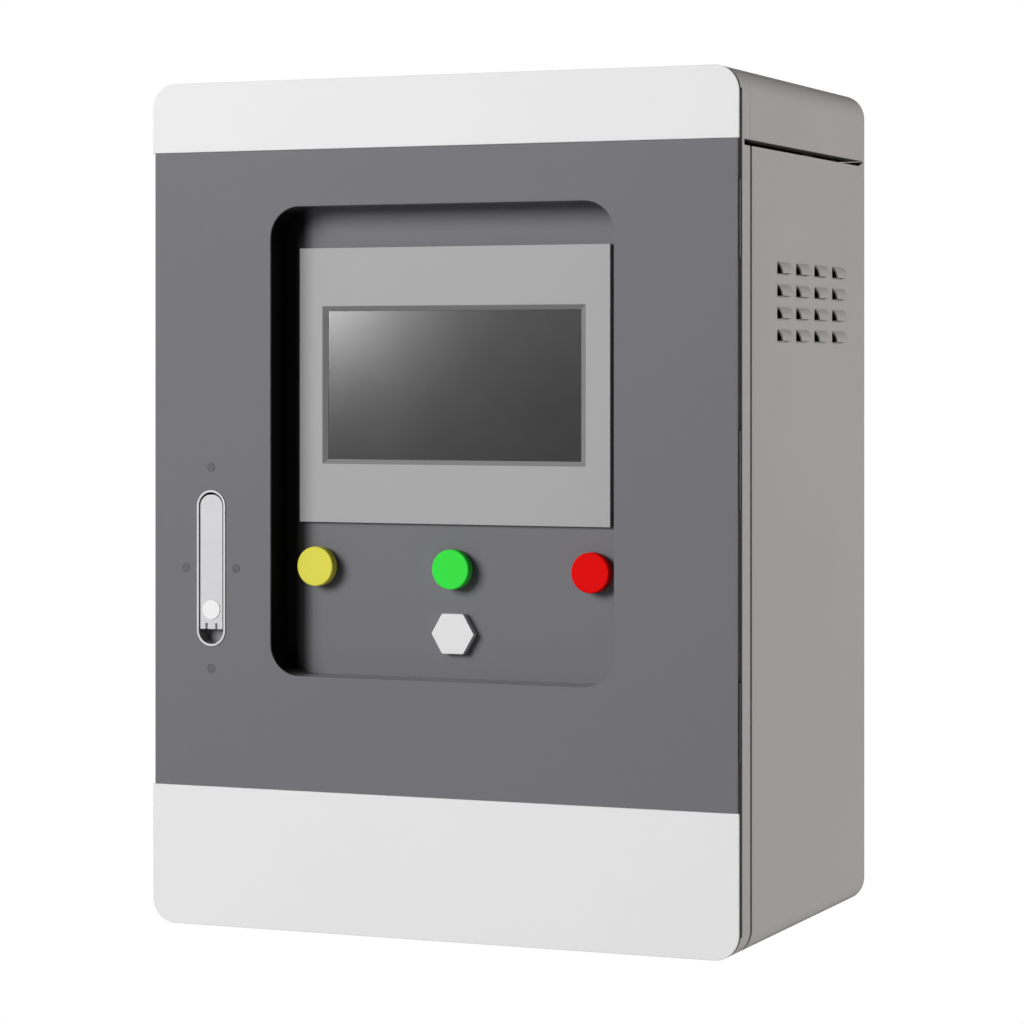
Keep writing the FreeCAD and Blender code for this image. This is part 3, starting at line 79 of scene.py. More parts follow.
soft_lamp("door_lamp", place=(-4.7, -8.0, 3.0), aim=(0, -0.3, 0.05), wide=5.0, high=4.0, watts=920)
sheen_lamp = soft_lamp("sheen_lamp", place=(-1.62, -3.25, 0.28), aim=(-0.1, -0.3, 0.16), wide=0.24, high=0.2,
                       watts=6)
sheen_lamp.visible_diffuse = False
soft_lamp("flank_lamp", place=(3.0, 0.45, 0.5), aim=(0.25, -0.1, 0), wide=1.2, high=1.6, watts=74,
          tint=(1, 0.99, 0.985))

room = bpy.data.worlds.new("room")
room.use_nodes = True
room_tree = room.node_tree
room_glow = room_tree.nodes["Background"]
room_glow.inputs["Color"].default_value = (1, 1, 1, 1)
room_glow.inputs["Strength"].default_value = 0.02
room_view = room_tree.nodes.new("ShaderNodeBackground")
room_view.inputs["Color"].default_value = (1, 1, 1, 1)
room_view.inputs["Strength"].default_value = 1.0
room_path = room_tree.nodes.new("ShaderNodeLightPath")
room_mix = room_tree.nodes.new("ShaderNodeMixShader")
room_tree.links.new(room_path.outputs["Is Camera Ray"], room_mix.inputs[0])
room_tree.links.new(room_glow.outputs[0], room_mix.inputs[1])
room_tree.links.new(room_view.outputs[0], room_mix.inputs[2])
room_tree.links.new(room_mix.outputs[0], room_tree.nodes["World Output"].inputs[0])
scene.world = room

# ------------------------------------------------------------------ floor
# A wide sheet of pale studio paper, well below the wall-hung case. It looks plain white to the camera and
# sends a little soft light up to the case.

floor_level = -0.95
floor_wide = 40.0


class Wire:
    """A socket of a finish. An expression written on it adds Math nodes."""

    def __init__(self, finish, socket):
        self.finish = finish
        self.socket = socket

    def math(self, operation, first, second):
        """One Math node of two values."""
        return self.finish.node("ShaderNodeMath", {"operation": operation}, {0: first, 1: second})

    def __add__(self, other):
        return self.math("ADD", self, other)

    def __radd__(self, other):
        return self.math("ADD", other, self)

    def __sub__(self, other):
        return self.math("SUBTRACT", self, other)

    def __rsub__(self, other):
        return self.math("SUBTRACT", other, self)

    def __mul__(self, other):
        return self.math("MULTIPLY", self, other)

    def __rmul__(self, other):
        return self.math("MULTIPLY", other, self)

    def __gt__(self, other):
        return self.math("GREATER_THAN", self, other)


class Finish:
    """A material whose nodes are added one at a time."""

    def __init__(self, name):
        self.material = bpy.data.materials.new(name)
        self.material.use_nodes = True
        self.tree = self.material.node_tree
        self.tree.nodes.clear()
        self.place = self.node("ShaderNodeTexCoord", output="Object")

    def node(self, kind, settings=None, inputs=None, output=0):
        """Adds a node: its settings first, then the values or links of its sockets."""
        made = self.tree.nodes.new(kind)
        for key, value in (settings or {}).items():
            setattr(made, key, value)
        for key, value in (inputs or {}).items():
            if isinstance(value, Wire):
                self.tree.links.new(value.socket, made.inputs[key])
            else:
                made.inputs[key].default_value = value
        return Wire(self, made.outputs[output]) if made.outputs else None

    def noise(self, scale, detail=2.0, roughness=0.5, place=None):
        """Cloudy noise over the piece's own space, or over a given place."""
        return self.node("ShaderNodeTexNoise", None, {"Vector": place or self.place, "Scale": scale,
                                                      "Detail": detail, "Roughness": roughness})

    def blend(self, amount, first, second):
        """Mixes two colours."""
        return self.node("ShaderNodeMix", {"data_type": "RGBA"}, {0: amount, 6: first, 7: second}, output=2)

    def tone(self, colour, amount, swing):
        """A colour that drifts darker and lighter by a swing, as the amount goes from 0 to 1."""
        dark = tuple(channel * (1 - swing) for channel in colour[:3]) + (1,)
        light = tuple(min(1, channel * (1 + swing)) for channel in colour[:3]) + (1,)
        return self.blend(amount, dark, light)

    def along(self, axis):
        """How far each point lies along one axis of the piece's own space."""
        return self.node("ShaderNodeSeparateXYZ", None, {"Vector": self.place}, output=axis)

    def soft_edge(self, radius):
        """A normal that rounds the edges."""
        return self.node("ShaderNodeBevel", {"samples": 6}, {"Radius": radius})

    def bump(self, height, strength, depth, under=None):
        """A relief, laid over another normal if there is one."""
        inputs = {"Height": height, "Strength": strength, "Distance": depth}
        if under is not None:
            inputs["Normal"] = under
        return self.node("ShaderNodeBump", None, inputs)

    def shade(self, colour, roughness, normal=None, **constants):
        """Ends the finish in one Principled shader."""
        inputs = {"Base Color": colour, "Roughness": roughness}
        if normal is not None:
            inputs["Normal"] = normal
        for key, value in constants.items():
            inputs[key.replace("_", " ")] = value
        surface = self.node("ShaderNodeBsdfPrincipled", None, inputs)
        self.node("ShaderNodeOutputMaterial", None, {"Surface": surface})
        return self.material


def dress(material, *names):
    """Puts a finish on CAD nodes."""
    for name in names:
        mesh = nodes[name].data
        mesh.materials.clear()
        mesh.materials.append(material)


bpy.ops.mesh.primitive_plane_add(size=floor_wide, location=(0, 0, floor_level))
floor = bpy.context.object
floor.name = "floor"
floor_finish = Finish("floor_paper")
paper_drift = floor_finish.noise(1.5)
paper = floor_finish.node("ShaderNodeBsdfDiffuse", None, {
    "Color": floor_finish.tone((0.62, 0.62, 0.62), paper_drift, 0.01), "Roughness": 0.5})
bright_paper = floor_finish.node("ShaderNodeEmission", None, {"Strength": 1.0})
seen = floor_finish.node("ShaderNodeLightPath", output="Is Camera Ray")
floor_surface = floor_finish.node("ShaderNodeMixShader", None, {0: seen, 1: paper, 2: bright_paper})
floor_finish.node("ShaderNodeOutputMaterial", None, {"Surface": floor_surface})
floor.data.materials.append(floor_finish.material)


# ------------------------------------------------------------------ case
# Folded steel sheet: wrap-round shell with pressed louvres, deep front frame, floor pan, flat back and a
# loose rain hood. Powder coated warm grey after folding, so every fold has a soft edge.


def powder_coat(name, colour, roughness, peel=0.12, edge=0.7 * mm, painted_shadow_left_of=None, fade=28 * mm,
                painted_light_below=None, **constants):
    """Sprayed and baked powder: fine orange peel, faint clouds and a soft line at each fold. It can also carry
    a painted shadow that fades the coat to black left of a place, and a painted light that lightens it below a
    level."""
    finish = Finish(name)
    peel_bumps = finish.noise(650, 3, 0.55)
    dust = finish.noise(2600, 2, 0.6)
    clouds = finish.noise(6, 3, 0.5)
    colour_amount = dust * 0.55 + clouds * 0.45
    sheen = roughness + (clouds - 0.5) * 0.08 + (dust - 0.5) * 0.06
    relief = finish.bump(peel_bumps + dust * 0.35, peel, 0.12 * mm, finish.soft_edge(edge))
    coat = finish.tone(colour, colour_amount, 0.05)
    # Painted light: below the level the coat blends to a tone twice as light.
    if painted_light_below is not None:
        painted_light_fade = 4 * mm
        painted_light_amount = (painted_light_below - finish.along("Z")) * (1 / painted_light_fade)
        painted_light_tone = tuple(channel * 2 for channel in colour)
        coat = finish.blend(painted_light_amount, coat, finish.tone(painted_light_tone, colour_amount, 0.05))
    # Painted shadow: left of the place the coat blends to black over the fade distance.
    if painted_shadow_left_of is not None:
        painted_shadow_amount = (painted_shadow_left_of - finish.along("X")) * (1 / fade) + 1
        coat = finish.blend(painted_shadow_amount, coat, finish.tone((0.003, 0.003, 0.003), dust, 0.2))
    return finish.shade(coat, sheen, relief, **constants)


case_paint = powder_coat("case_paint", (0.345, 0.333, 0.329), 0.48)
dress(case_paint, "body_shell", "front_frame", "base_pan", "rear_panel", "top_hood", "roof_panel")

# ------------------------------------------------------------------ door
# Folded steel door sheet with a welded window tunnel and instrument panel, powder coated dark grey. Two
# pale cover plates lie over its ends. The tunnel's left side and the panel's left edge carry a painted shadow
# that fades to black, and the tunnel's floor a painted light that lightens it.

door_grey = (0.152, 0.151, 0.164)
door_sheen = 0.55
screen_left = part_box("hmi_bezel")[0][0]
tunnel_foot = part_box("selector_knob")[0][2] - 12 * mm
dress(powder_coat("door_paint", door_grey, door_sheen, Specular_IOR_Level=0.25), "door_skin")
# The tunnel's left side carries a painted shadow that fades to black, and its floor a painted light.
dress(powder_coat("collar_paint_with_painted_shadow_and_light", door_grey, door_sheen, painted_shadow_left_of=screen_left - 3 * mm,
                  painted_light_below=tunnel_foot, Specular_IOR_Level=0.1), "window_collar")
# The panel's left edge carries a painted shadow that fades to black over a short distance.
dress(powder_coat("panel_paint_with_painted_shadow", door_grey, door_sheen, painted_shadow_left_of=screen_left + 1.5 * mm,
                  fade=9 * mm, Specular_IOR_Level=0.25), "instrument_panel")
rivet_paint = powder_coat("rivet_paint", (0.122, 0.122, 0.13), 0.6, Specular_IOR_Level=0.2)
dress(rivet_paint, "latch_rivets")
pale_paint = powder_coat("pale_paint", (0.8, 0.8, 0.8), 0.5, Specular_IOR_Level=0.25)
dress(pale_paint, "top_trim_cover", "bottom_trim_cover")

# ------------------------------------------------------------------ touch screen
# Grey moulded surround with a bevelled window, darker in the bevel. The touch glass lies behind it, over a
# dark display, and the whole is clamped into the panel from behind.


def moulded(name, colour, roughness, grain=1800, relief=0.1, edge=0.3 * mm, dark_behind=None, **constants):
    """Injection-moulded plastic with a fine spark-eroded grain; darker behind a given depth."""
    finish = Finish(name)
    grains = finish.noise(grain, 2, 0.6)
    clouds = finish.noise(25, 2, 0.5)
    bumps = finish.bump(grains, relief, 0.05 * mm, finish.soft_edge(edge))
    sheen = roughness + (grains - 0.5) * 0.1 + (clouds - 0.5) * 0.06
    surface = finish.tone(colour, grains * 0.4 + clouds * 0.6, 0.04)
    if dark_behind is not None:
        darker = tuple(channel * 0.52 for channel in colour)
        surface = finish.blend(finish.along("Y") > dark_behind, surface, finish.tone(darker, grains, 0.06))
    return finish.shade(surface, sheen, bumps, **constants)


bezel_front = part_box("hmi_bezel")[0][1]
bezel_plastic = moulded("bezel_plastic", (0.355, 0.355, 0.355), 0.55, dark_behind=bezel_front + 0.2 * mm)
dress(bezel_plastic, "hmi_bezel")

glass = Finish("touch_glass")
smears = glass.noise(14, 4, 0.6)
wipes = glass.noise(90, 2, 0.5)
glass_gloss = 0.145 + smears * 0.02 + wipes * 0.01
glass_tone = glass.tone((0.034, 0.034, 0.036), smears, 0.25)
dress(glass.shade(glass_tone, glass_gloss, glass.bump(wipes, 0.02, 0.02 * mm)), "hmi_glass")
dress(moulded("display_plastic", (0.02, 0.02, 0.022), 0.3), "hmi_display")

# ------------------------------------------------------------------ push buttons and selector
# Coloured moulded caps on black collars, and a pale six-sided knob on a collar of its own. Each collar goes
# through the panel and is held by a nut behind it.

button_colours = {"yellow": (0.74, 0.7, 0.09), "green": (0.045, 0.78, 0.065), "red": (0.76, 0.002, 0.002)}
for shade_name, button_colour in button_colours.items():
    cap_finish = moulded(f"{shade_name}_cap_plastic", button_colour, 0.5, 900, 0.06, 0.5 * mm,
                         Specular_IOR_Level=0.03)
    dress(cap_finish, f"{shade_name}_button_cap")
collar_plastic = moulded("collar_plastic", (0.012, 0.012, 0.012), 0.5)
dress(collar_plastic, "yellow_button_body", "green_button_body", "red_button_body", "selector_body")
dress(moulded("knob_plastic", (0.74, 0.74, 0.74), 0.4, 900, 0.06, 0.6 * mm), "selector_knob")

# ------------------------------------------------------------------ latch
# Die-cast cup and lever with a pale satin coat, and a moulded release button in the lever. The cup goes
# through the door and is held by a plated back plate, which also guides the carrier and its tongue.


def satin_casting(name, colour, roughness, dark_behind=None):
    """Satin-coated die casting with the faint wave of a cast face; uncoated and dark behind a given depth."""
    finish = Finish(name)
    wave = finish.noise(120, 2, 0.4)
    grains = finish.noise(1500, 2, 0.6)
    relief = finish.bump(wave * 0.6 + grains * 0.4, 0.08, 0.08 * mm, finish.soft_edge(0.35 * mm))
    coat = finish.tone(colour, wave, 0.03)
    if dark_behind is not None:
        bare = finish.tone((0.24, 0.24, 0.25), grains, 0.15)
        coat = finish.blend(finish.along("Y") > dark_behind, coat, bare)
    return finish.shade(coat, roughness + (grains - 0.5) * 0.1, relief)


rim_thick = 0.9 * mm
rim_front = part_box("latch_housing")[0][1]
dress(satin_casting("cup_coat", (0.66, 0.66, 0.675), 0.36, rim_front + rim_thick), "latch_housing")
dress(satin_casting("lever_coat", (0.6, 0.6, 0.615), 0.42), "latch_lever")
dress(moulded("release_plastic", (0.84, 0.84, 0.84), 0.35, 1200, 0.05), "release_button")


def plated(name, colour, roughness, metallic=0.9):
    """Zinc plate over rolled steel: fine rolling lines and a blotchy passivation."""
    finish = Finish(name)
    along = finish.node("ShaderNodeMapping", None, {"Vector": finish.place, "Scale": (30, 30, 900)})
    lines = finish.noise(1, 3, 0.6, along)
    blotch = finish.noise(40, 3, 0.5)
    relief = finish.bump(lines, 0.08, 0.05 * mm)
    return finish.shade(finish.tone(colour, lines * 0.5 + blotch * 0.5, 0.12),
                        roughness + (lines - 0.5) * 0.15 + (blotch - 0.5) * 0.1, relief, Metallic=metallic)


zinc = plated("zinc_plate", (0.6, 0.61, 0.62), 0.35)
dress(zinc, "latch_plate", "latch_carrier", "latch_bolt")
dress(plated("bright_steel", (0.5, 0.5, 0.51), 0.3, 1.0), "latch_pin")

# ------------------------------------------------------------------ mounting plate, rails and fixings
# Zinc-plated steel plate on turned standoffs, with two folded rails that the devices clip on. The nuts and
# the screen's clamps behind the panel have the same plating.

dress(zinc, "mounting_plate", "plate_standoffs", "din_rail_upper", "din_rail_lower", "hmi_clamps", "panel_nuts")

# ------------------------------------------------------------------ hinges
# Three pressed steel hinges with a blackened surface, in the gap on the door's right. One leaf of each is
# fixed to the front frame and the other to the door, and a steel pin joins them.

dress(plated("black_oxide", (0.02, 0.02, 0.021), 0.5, 0.3), "hinge_pins",
      *(f"hinge_{side}_leaf_{level}" for side in ("frame", "door") for level in ("bottom", "middle", "top")))

# ------------------------------------------------------------------ door seal
# Black foam-rubber strip with a rounded face, glued round the door's back in one ring. The shut door brings
# it up to the front frame.

seal_low, seal_high = (Vector(corner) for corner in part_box("door_seal"))
seal_wide = 8 * mm
seal_corner = 8 * mm


def solid(name, low, high, finish):
    """A block between two corners, with its place in its mesh."""
    bpy.ops.object.select_all(action="DESELECT")
    low = Vector(low)
    high = Vector(high)
    bpy.ops.mesh.primitive_cube_add(size=1, location=(low + high) / 2, scale=high - low)
    piece = bpy.context.object
    piece.name = name
    bpy.ops.object.transform_apply(location=True, rotation=True, scale=True)
    piece.data.materials.append(finish)
    return piece


def pick(piece, wanted):
    """Opens a piece for editing with only the wanted faces selected."""
    bpy.ops.object.select_all(action="DESELECT")
    bpy.context.view_layer.objects.active = piece
    piece.select_set(True)
    bpy.ops.object.mode_set(mode="EDIT")
    bpy.ops.mesh.select_mode(type="FACE")
    bpy.ops.mesh.select_all(action="DESELECT")
    bpy.ops.object.mode_set(mode="OBJECT")
    for face in piece.data.polygons:
        face.select = wanted(face)
    bpy.ops.object.mode_set(mode="EDIT")


def close_up():
    """Leaves edit mode."""
    bpy.ops.object.mode_set(mode="OBJECT")


def towards(axis, sign):
    """A test for faces that look along an axis."""
    return lambda face: face.normal[axis] * sign > 0.99


def ease(piece, width, segments=2):
    """Rounds the sharp edges of a piece and shades it smooth between them."""
    bpy.ops.object.select_all(action="DESELECT")
    bpy.context.view_layer.objects.active = piece
    piece.select_set(True)
    rounding = piece.modifiers.new("rounding", "BEVEL")
    rounding.width = width
    rounding.segments = segments
    rounding.limit_method = "ANGLE"
    rounding.angle_limit = math.radians(40)
    bpy.ops.object.modifier_apply(modifier="rounding")
    bpy.ops.object.shade_smooth_by_angle(angle=math.radians(35))
    return piece


def ring_sheet(name, low, high, wide, bend, finish):
    """A flat rounded frame facing the front, ready to be given its thickness."""
    bpy.ops.object.select_all(action="DESELECT")
    middle = (low + high) / 2
    bpy.ops.mesh.primitive_plane_add(size=1, location=middle, rotation=(math.radians(90), 0, 0))
    frame_piece = bpy.context.object
    frame_piece.name = name
    frame_piece.scale = (high.x - low.x, high.z - low.z, 1)
    bpy.ops.object.transform_apply(location=True, rotation=True, scale=True)
    bpy.ops.object.mode_set(mode="EDIT")
    bpy.ops.mesh.select_all(action="SELECT")
    bpy.ops.mesh.bevel(offset=bend, segments=6, affect="VERTICES")
    bpy.ops.mesh.select_all(action="SELECT")
    bpy.ops.mesh.inset(thickness=wide)
    bpy.ops.mesh.delete(type="FACE")
    close_up()
    frame_piece.data.materials.append(finish)
    return frame_piece


foam = Finish("seal_rubber")
cells = foam.node("ShaderNodeTexVoronoi", None, {"Vector": foam.place, "Scale": 900})
foam.shade(foam.tone((0.018, 0.018, 0.018), cells, 0.3), 0.75 + cells * 0.15, foam.bump(cells, 0.3, 0.2 * mm))

seal = ring_sheet("seal_ring", seal_low, seal_high, seal_wide, seal_corner + seal_wide, foam.material)
thickness = seal.modifiers.new("thickness", "SOLIDIFY")
thickness.thickness = seal_high.y - seal_low.y
thickness.offset = 0
bpy.context.view_layer.objects.active = seal
bpy.ops.object.modifier_apply(modifier="thickness")
ease(seal, 1.3 * mm, 3)
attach(seal, "door")
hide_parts("door_seal")

# ------------------------------------------------------------------ cable grommets
# Two soft rubber rings pressed into the cable holes of the case's floor. Each has a lip inside the case and
# a rounded throat for the cable.

grommet_low, grommet_high = (Vector(corner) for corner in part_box("cable_grommets"))
throat_radius = 8 * mm
neck_radius = 13.7 * mm
lip_radius = 17 * mm
lip_thick = 2.5 * mm


def grommet(name, centre_x):
    """A ring spun about its upright axis from its section."""
    bpy.ops.object.select_all(action="DESELECT")
    centre_y = (grommet_low.y + grommet_high.y) / 2
    mid = (throat_radius + lip_radius) / 2
    lip_low = grommet_high.z - lip_thick
    bpy.ops.mesh.primitive_plane_add(size=1, rotation=(math.radians(90), 0, 0),
                                     location=(centre_x + mid, centre_y, (lip_low + grommet_high.z) / 2))
    ring = bpy.context.object
    ring.name = name
    ring.scale = (lip_radius - throat_radius, lip_thick, 1)
    bpy.ops.object.transform_apply(location=True, rotation=True, scale=True)
    bpy.ops.object.mode_set(mode="EDIT")
    bpy.ops.mesh.select_all(action="SELECT")
    bpy.ops.mesh.bisect(plane_co=(centre_x + neck_radius, 0, 0), plane_no=(1, 0, 0))
    close_up()
    hair = 0.001 * mm
    under_neck = [abs(point.co.z - lip_low) < hair and point.co.x < centre_x + neck_radius + hair
                  for point in ring.data.vertices]
    for edge in ring.data.edges:
        edge.select = all(under_neck[end] for end in edge.vertices)
    for face in ring.data.polygons:
        face.select = False
    for point in ring.data.vertices:
        point.select = under_neck[point.index]
    bpy.ops.object.mode_set(mode="EDIT")
    bpy.ops.mesh.select_mode(type="EDGE")
    bpy.ops.mesh.extrude_edges_move(TRANSFORM_OT_translate={"value": (0, 0, grommet_low.z - lip_low)})
    bpy.ops.mesh.select_mode(type="FACE")
    bpy.ops.mesh.select_all(action="SELECT")
    bpy.ops.mesh.spin(steps=32, angle=math.radians(360), center=(centre_x, centre_y, 0), axis=(0, 0, 1))
    bpy.ops.mesh.select_all(action="SELECT")
    bpy.ops.mesh.remove_doubles(threshold=1e-5)
    bpy.ops.mesh.delete_loose()
    bpy.ops.mesh.select_all(action="DESELECT")
    bpy.ops.mesh.select_interior_faces()
    bpy.ops.mesh.delete(type="FACE")
    bpy.ops.mesh.select_all(action="SELECT")
    bpy.ops.mesh.normals_make_consistent(inside=False)
    close_up()
    ring.data.materials.append(foam.material)
    return ease(ring, 0.6 * mm, 2)


grommet_left = grommet("grommet_left", grommet_low.x + lip_radius)
grommet_right = grommet("grommet_right", grommet_high.x - lip_radius)
for ring in (grommet_left, grommet_right):
    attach(ring, "cabinet")
    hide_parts("cable_grommets")

# ------------------------------------------------------------------ wiring ducts
# Two grey extruded channels with slotted sides, so that the wires leave between the fingers. They are
# screwed to the mounting plate, and plain lids snap on.

duct_plastic = moulded("duct_plastic", (0.33, 0.34, 0.35), 0.55)
dress(duct_plastic, "duct_cover_upper", "duct_cover_lower")
duct_wall = 2 * mm
finger_wide = 8 * mm
finger_pitch = 12.2 * mm
finger_root = 0.3


def merge(name, pieces):
    """Joins pieces into one object."""
    bpy.ops.object.select_all(action="DESELECT")
    for piece in pieces:
        piece.select_set(True)
    bpy.context.view_layer.objects.active = pieces[0]
    bpy.ops.object.join()
    pieces[0].name = name
    return pieces[0]


def duct(name, node):
    """One channel: a trough for the floor and a row of fingers for each side."""
    low, high = (Vector(corner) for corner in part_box(node))
    root = high.y - (high.y - low.y) * finger_root
    channel = solid(f"{name}_channel", (low.x, root, low.z), high, duct_plastic)
    pick(channel, towards(1, -1))
    bpy.ops.mesh.bisect(plane_co=(0, 0, 0), plane_no=(0, 0, 1))
    bpy.ops.mesh.select_all(action="DESELECT")
    close_up()
    pick(channel, towards(1, -1))
    bpy.ops.mesh.inset(thickness=duct_wall, use_individual=False)
    trough_deep = high.y - root - duct_wall
    bpy.ops.mesh.extrude_region_shrink_fatten(TRANSFORM_OT_shrink_fatten={"value": -trough_deep})
    close_up()
    fingers = []
    for wall_low in (low.z, high.z - duct_wall):
        finger = solid(f"{name}_finger", (low.x + finger_pitch / 4, low.y, wall_low),
                       (low.x + finger_pitch / 4 + finger_wide, root + duct_wall / 4, wall_low + duct_wall),
                       duct_plastic)
        ease(finger, 0.5 * mm, 1)
        row = finger.modifiers.new("row", "ARRAY")
        row.count = int((high.x - low.x) / finger_pitch)
        row.use_relative_offset = False
        row.use_constant_offset = True
        row.constant_offset_displace = (finger_pitch, 0, 0)
        bpy.context.view_layer.objects.active = finger
        bpy.ops.object.modifier_apply(modifier="row")
        fingers.append(finger)
    ease(channel, 0.4 * mm, 1)
    made = merge(name, [channel] + fingers)
    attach(made, "cabinet")
    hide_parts(node)
    return made


duct("duct_upper", "wiring_duct_upper")
duct("duct_lower", "wiring_duct_lower")

# ------------------------------------------------------------------ main switch
# Black moulded main switch clipped on the upper rail: three poles, a clamp screw above and below each,
# and a stepped nose with the toggle in its slot.

device_plastic = moulded("device_plastic", (0.2, 0.21, 0.22), 0.5)
toggle_plastic = moulded("toggle_plastic", (0.015, 0.015, 0.015), 0.35)
dress(toggle_plastic, "breaker_toggle")
screw_steel = plated("screw_steel", (0.55, 0.55, 0.53), 0.35)
breaker_low, breaker_high = (Vector(corner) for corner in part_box("main_breaker"))
nose_deep = 14 * mm
nose_high = 45 * mm
nose_slot = 36 * mm
toggle_gap = 15.2 * mm
clamp_reach = 42 * mm
end_reach = 40 * mm
pole_count = 3


def slice_at(piece, axis, places):
    """Cuts new edges round a piece at places along an axis."""
    for place in places:
        pick(piece, lambda face: True)
        centre = Vector((0, 0, 0))
        centre[axis] = place
        direction = Vector((0, 0, 0))
        direction[axis] = 1
        bpy.ops.mesh.bisect(plane_co=centre, plane_no=direction)
        close_up()


def sink(piece, wanted, margin, depth):
    """Presses each wanted face in, leaving a margin round it."""
    pick(piece, wanted)
    bpy.ops.mesh.inset(thickness=margin, use_individual=True)
    bpy.ops.mesh.extrude_region_shrink_fatten(TRANSFORM_OT_shrink_fatten={"value": -depth})
    close_up()


def within(axis, low, high):
    """A test for faces whose middle lies between two places along an axis."""
    return lambda face: low < face.center[axis] < high


def both(*tests):
    """A test that holds when all the given ones do."""
    return lambda face: all(test(face) for test in tests)


def screw(name, place, radius, length, finish, sign=-1):
    """A round clamp screw with a sunk drive, its head towards the front (or the back, with sign 1)."""
    bpy.ops.object.select_all(action="DESELECT")
    centre = Vector(place) - Vector((0, sign * length / 2, 0))
    bpy.ops.mesh.primitive_cylinder_add(vertices=20, radius=radius, depth=length, location=centre,
                                        rotation=(math.radians(90), 0, 0))
    head = bpy.context.object
    head.name = name
    bpy.ops.object.transform_apply(location=True, rotation=True, scale=True)
    head.data.materials.append(finish)
    sink(head, towards(1, sign), radius * 0.45, radius * 0.4)
    return ease(head, radius * 0.12, 1)


breaker_face = breaker_low.y + nose_deep
breaker_mid_x = (breaker_low.x + breaker_high.x) / 2
breaker_mid_z = (breaker_low.z + breaker_high.z) / 2
pole_wide = (breaker_high.x - breaker_low.x) / pole_count
housing = solid("switch_housing", (breaker_low.x, breaker_face, breaker_low.z), breaker_high, device_plastic)
slice_at(housing, 0, [breaker_low.x + pole_wide * step for step in range(1, pole_count)])
slice_at(housing, 2, [breaker_mid_z - nose_high / 2, breaker_mid_z + nose_high / 2])
sink(housing, both(towards(1, -1), lambda face: abs(face.center.z - breaker_mid_z) > nose_high / 2),
     margin=3 * mm, depth=7 * mm)
sink(housing, lambda face: abs(face.normal.z) > 0.99 and abs(face.center.z - breaker_mid_z) > end_reach,
     margin=4 * mm, depth=6 * mm)
switch_pieces = [ease(housing, 0.6 * mm)]
slot_left = breaker_mid_x - toggle_gap / 2
slot_right = breaker_mid_x + toggle_gap / 2
for part, left, right, low_z, high_z in (
        ("left", breaker_low.x, slot_left, -nose_high / 2, nose_high / 2),
        ("right", slot_right, breaker_high.x, -nose_high / 2, nose_high / 2),
        ("foot", slot_left, slot_right, -nose_high / 2, -nose_slot / 2),
        ("head", slot_left, slot_right, nose_slot / 2, nose_high / 2)):
    nose = solid(f"switch_nose_{part}", (left, breaker_low.y, breaker_mid_z + low_z),
                 (right, breaker_face + 0.5 * mm, breaker_mid_z + high_z), device_plastic)
    if part in ("left", "right"):
        sink(nose, towards(1, -1), margin=3 * mm, depth=0.6 * mm)
    switch_pieces.append(ease(nose, 0.8 * mm))
for pole in range(pole_count):
    for side in (-1, 1):
        clamp_place = (breaker_low.x + pole_wide * (pole + 0.5), breaker_face + 4 * mm,
                       breaker_mid_z + side * (nose_high / 2 + (clamp_reach - nose_high / 2) / 2))
        switch_pieces.append(screw(f"switch_clamp_{pole}_{side}", clamp_place, 4.2 * mm, 4 * mm, screw_steel))
main_switch = merge("main_switch", switch_pieces)
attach(main_switch, "cabinet")
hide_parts("main_breaker")

# ------------------------------------------------------------------ power supply
# Rail-mounted supply in a folded metal case with sunk cooling strips in its sides. At its front are a row
# of six clamps at the foot, a small lamp and a trimmer.

supply_low, supply_high = (Vector(corner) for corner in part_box("power_supply"))
supply_metal = powder_coat("supply_metal", (0.42, 0.43, 0.44), 0.45)
clamp_plastic = moulded("clamp_plastic", (0.03, 0.032, 0.035), 0.5)
lamp_plastic = moulded("lamp_plastic", (0.05, 0.5, 0.08), 0.25)
clamp_row_high = 20 * mm
clamp_count = 6
vent_pitch = 5 * mm
supply = solid("supply_case", (supply_low.x, supply_low.y + 2 * mm, supply_low.z), supply_high, supply_metal)
vent_start = supply_low.z + 32 * mm
vent_count = 16
row_top = supply_low.z + clamp_row_high
slice_at(supply, 2, [row_top] + [vent_start + vent_pitch * step for step in range(vent_count + 1)])
sink(supply, both(towards(1, -1), within(2, supply_low.z, row_top)), margin=1.5 * mm, depth=9 * mm)


def in_vent_row(face):
    """True for every other strip of the case's two sides."""
    strip = (face.center.z - vent_start) / vent_pitch
    return abs(face.normal.x) > 0.99 and 0 < strip < vent_count and int(strip) % 2 == 0


sink(supply, in_vent_row, margin=0.9 * mm, depth=1.2 * mm)
supply_pieces = [ease(supply, 0.5 * mm)]
bay_margin = 1.5 * mm
bay_wide = supply_high.x - supply_low.x - 2 * bay_margin
cell_half = 3.9 * mm
cell_gap = 2.5 * mm
for clamp in range(clamp_count):
    clamp_x = supply_low.x + bay_margin + bay_wide * (clamp + 0.5) / clamp_count
    cell = solid(f"supply_cell_{clamp}",
                 (clamp_x - cell_half, supply_low.y + 3 * mm, supply_low.z + cell_gap),
                 (clamp_x + cell_half, supply_low.y + 11 * mm, row_top - cell_gap), clamp_plastic)
    sink(cell, towards(1, -1), margin=0.8 * mm, depth=2 * mm)
    supply_pieces.append(ease(cell, 0.3 * mm, 1))
    screw_place = (clamp_x, supply_low.y + 4 * mm, supply_low.z + clamp_row_high / 2)
    supply_pieces.append(screw(f"supply_screw_{clamp}", screw_place, 2.6 * mm, 3 * mm, screw_steel))
signs_z = supply_low.z + 27 * mm
lamp_place = (supply_low.x + 12 * mm, supply_low.y + 0.8 * mm, signs_z)
supply_pieces.append(screw("supply_lamp", lamp_place, 2.2 * mm, 3 * mm, lamp_plastic))
trimmer_place = (supply_low.x + 24 * mm, supply_low.y + 1 * mm, signs_z)
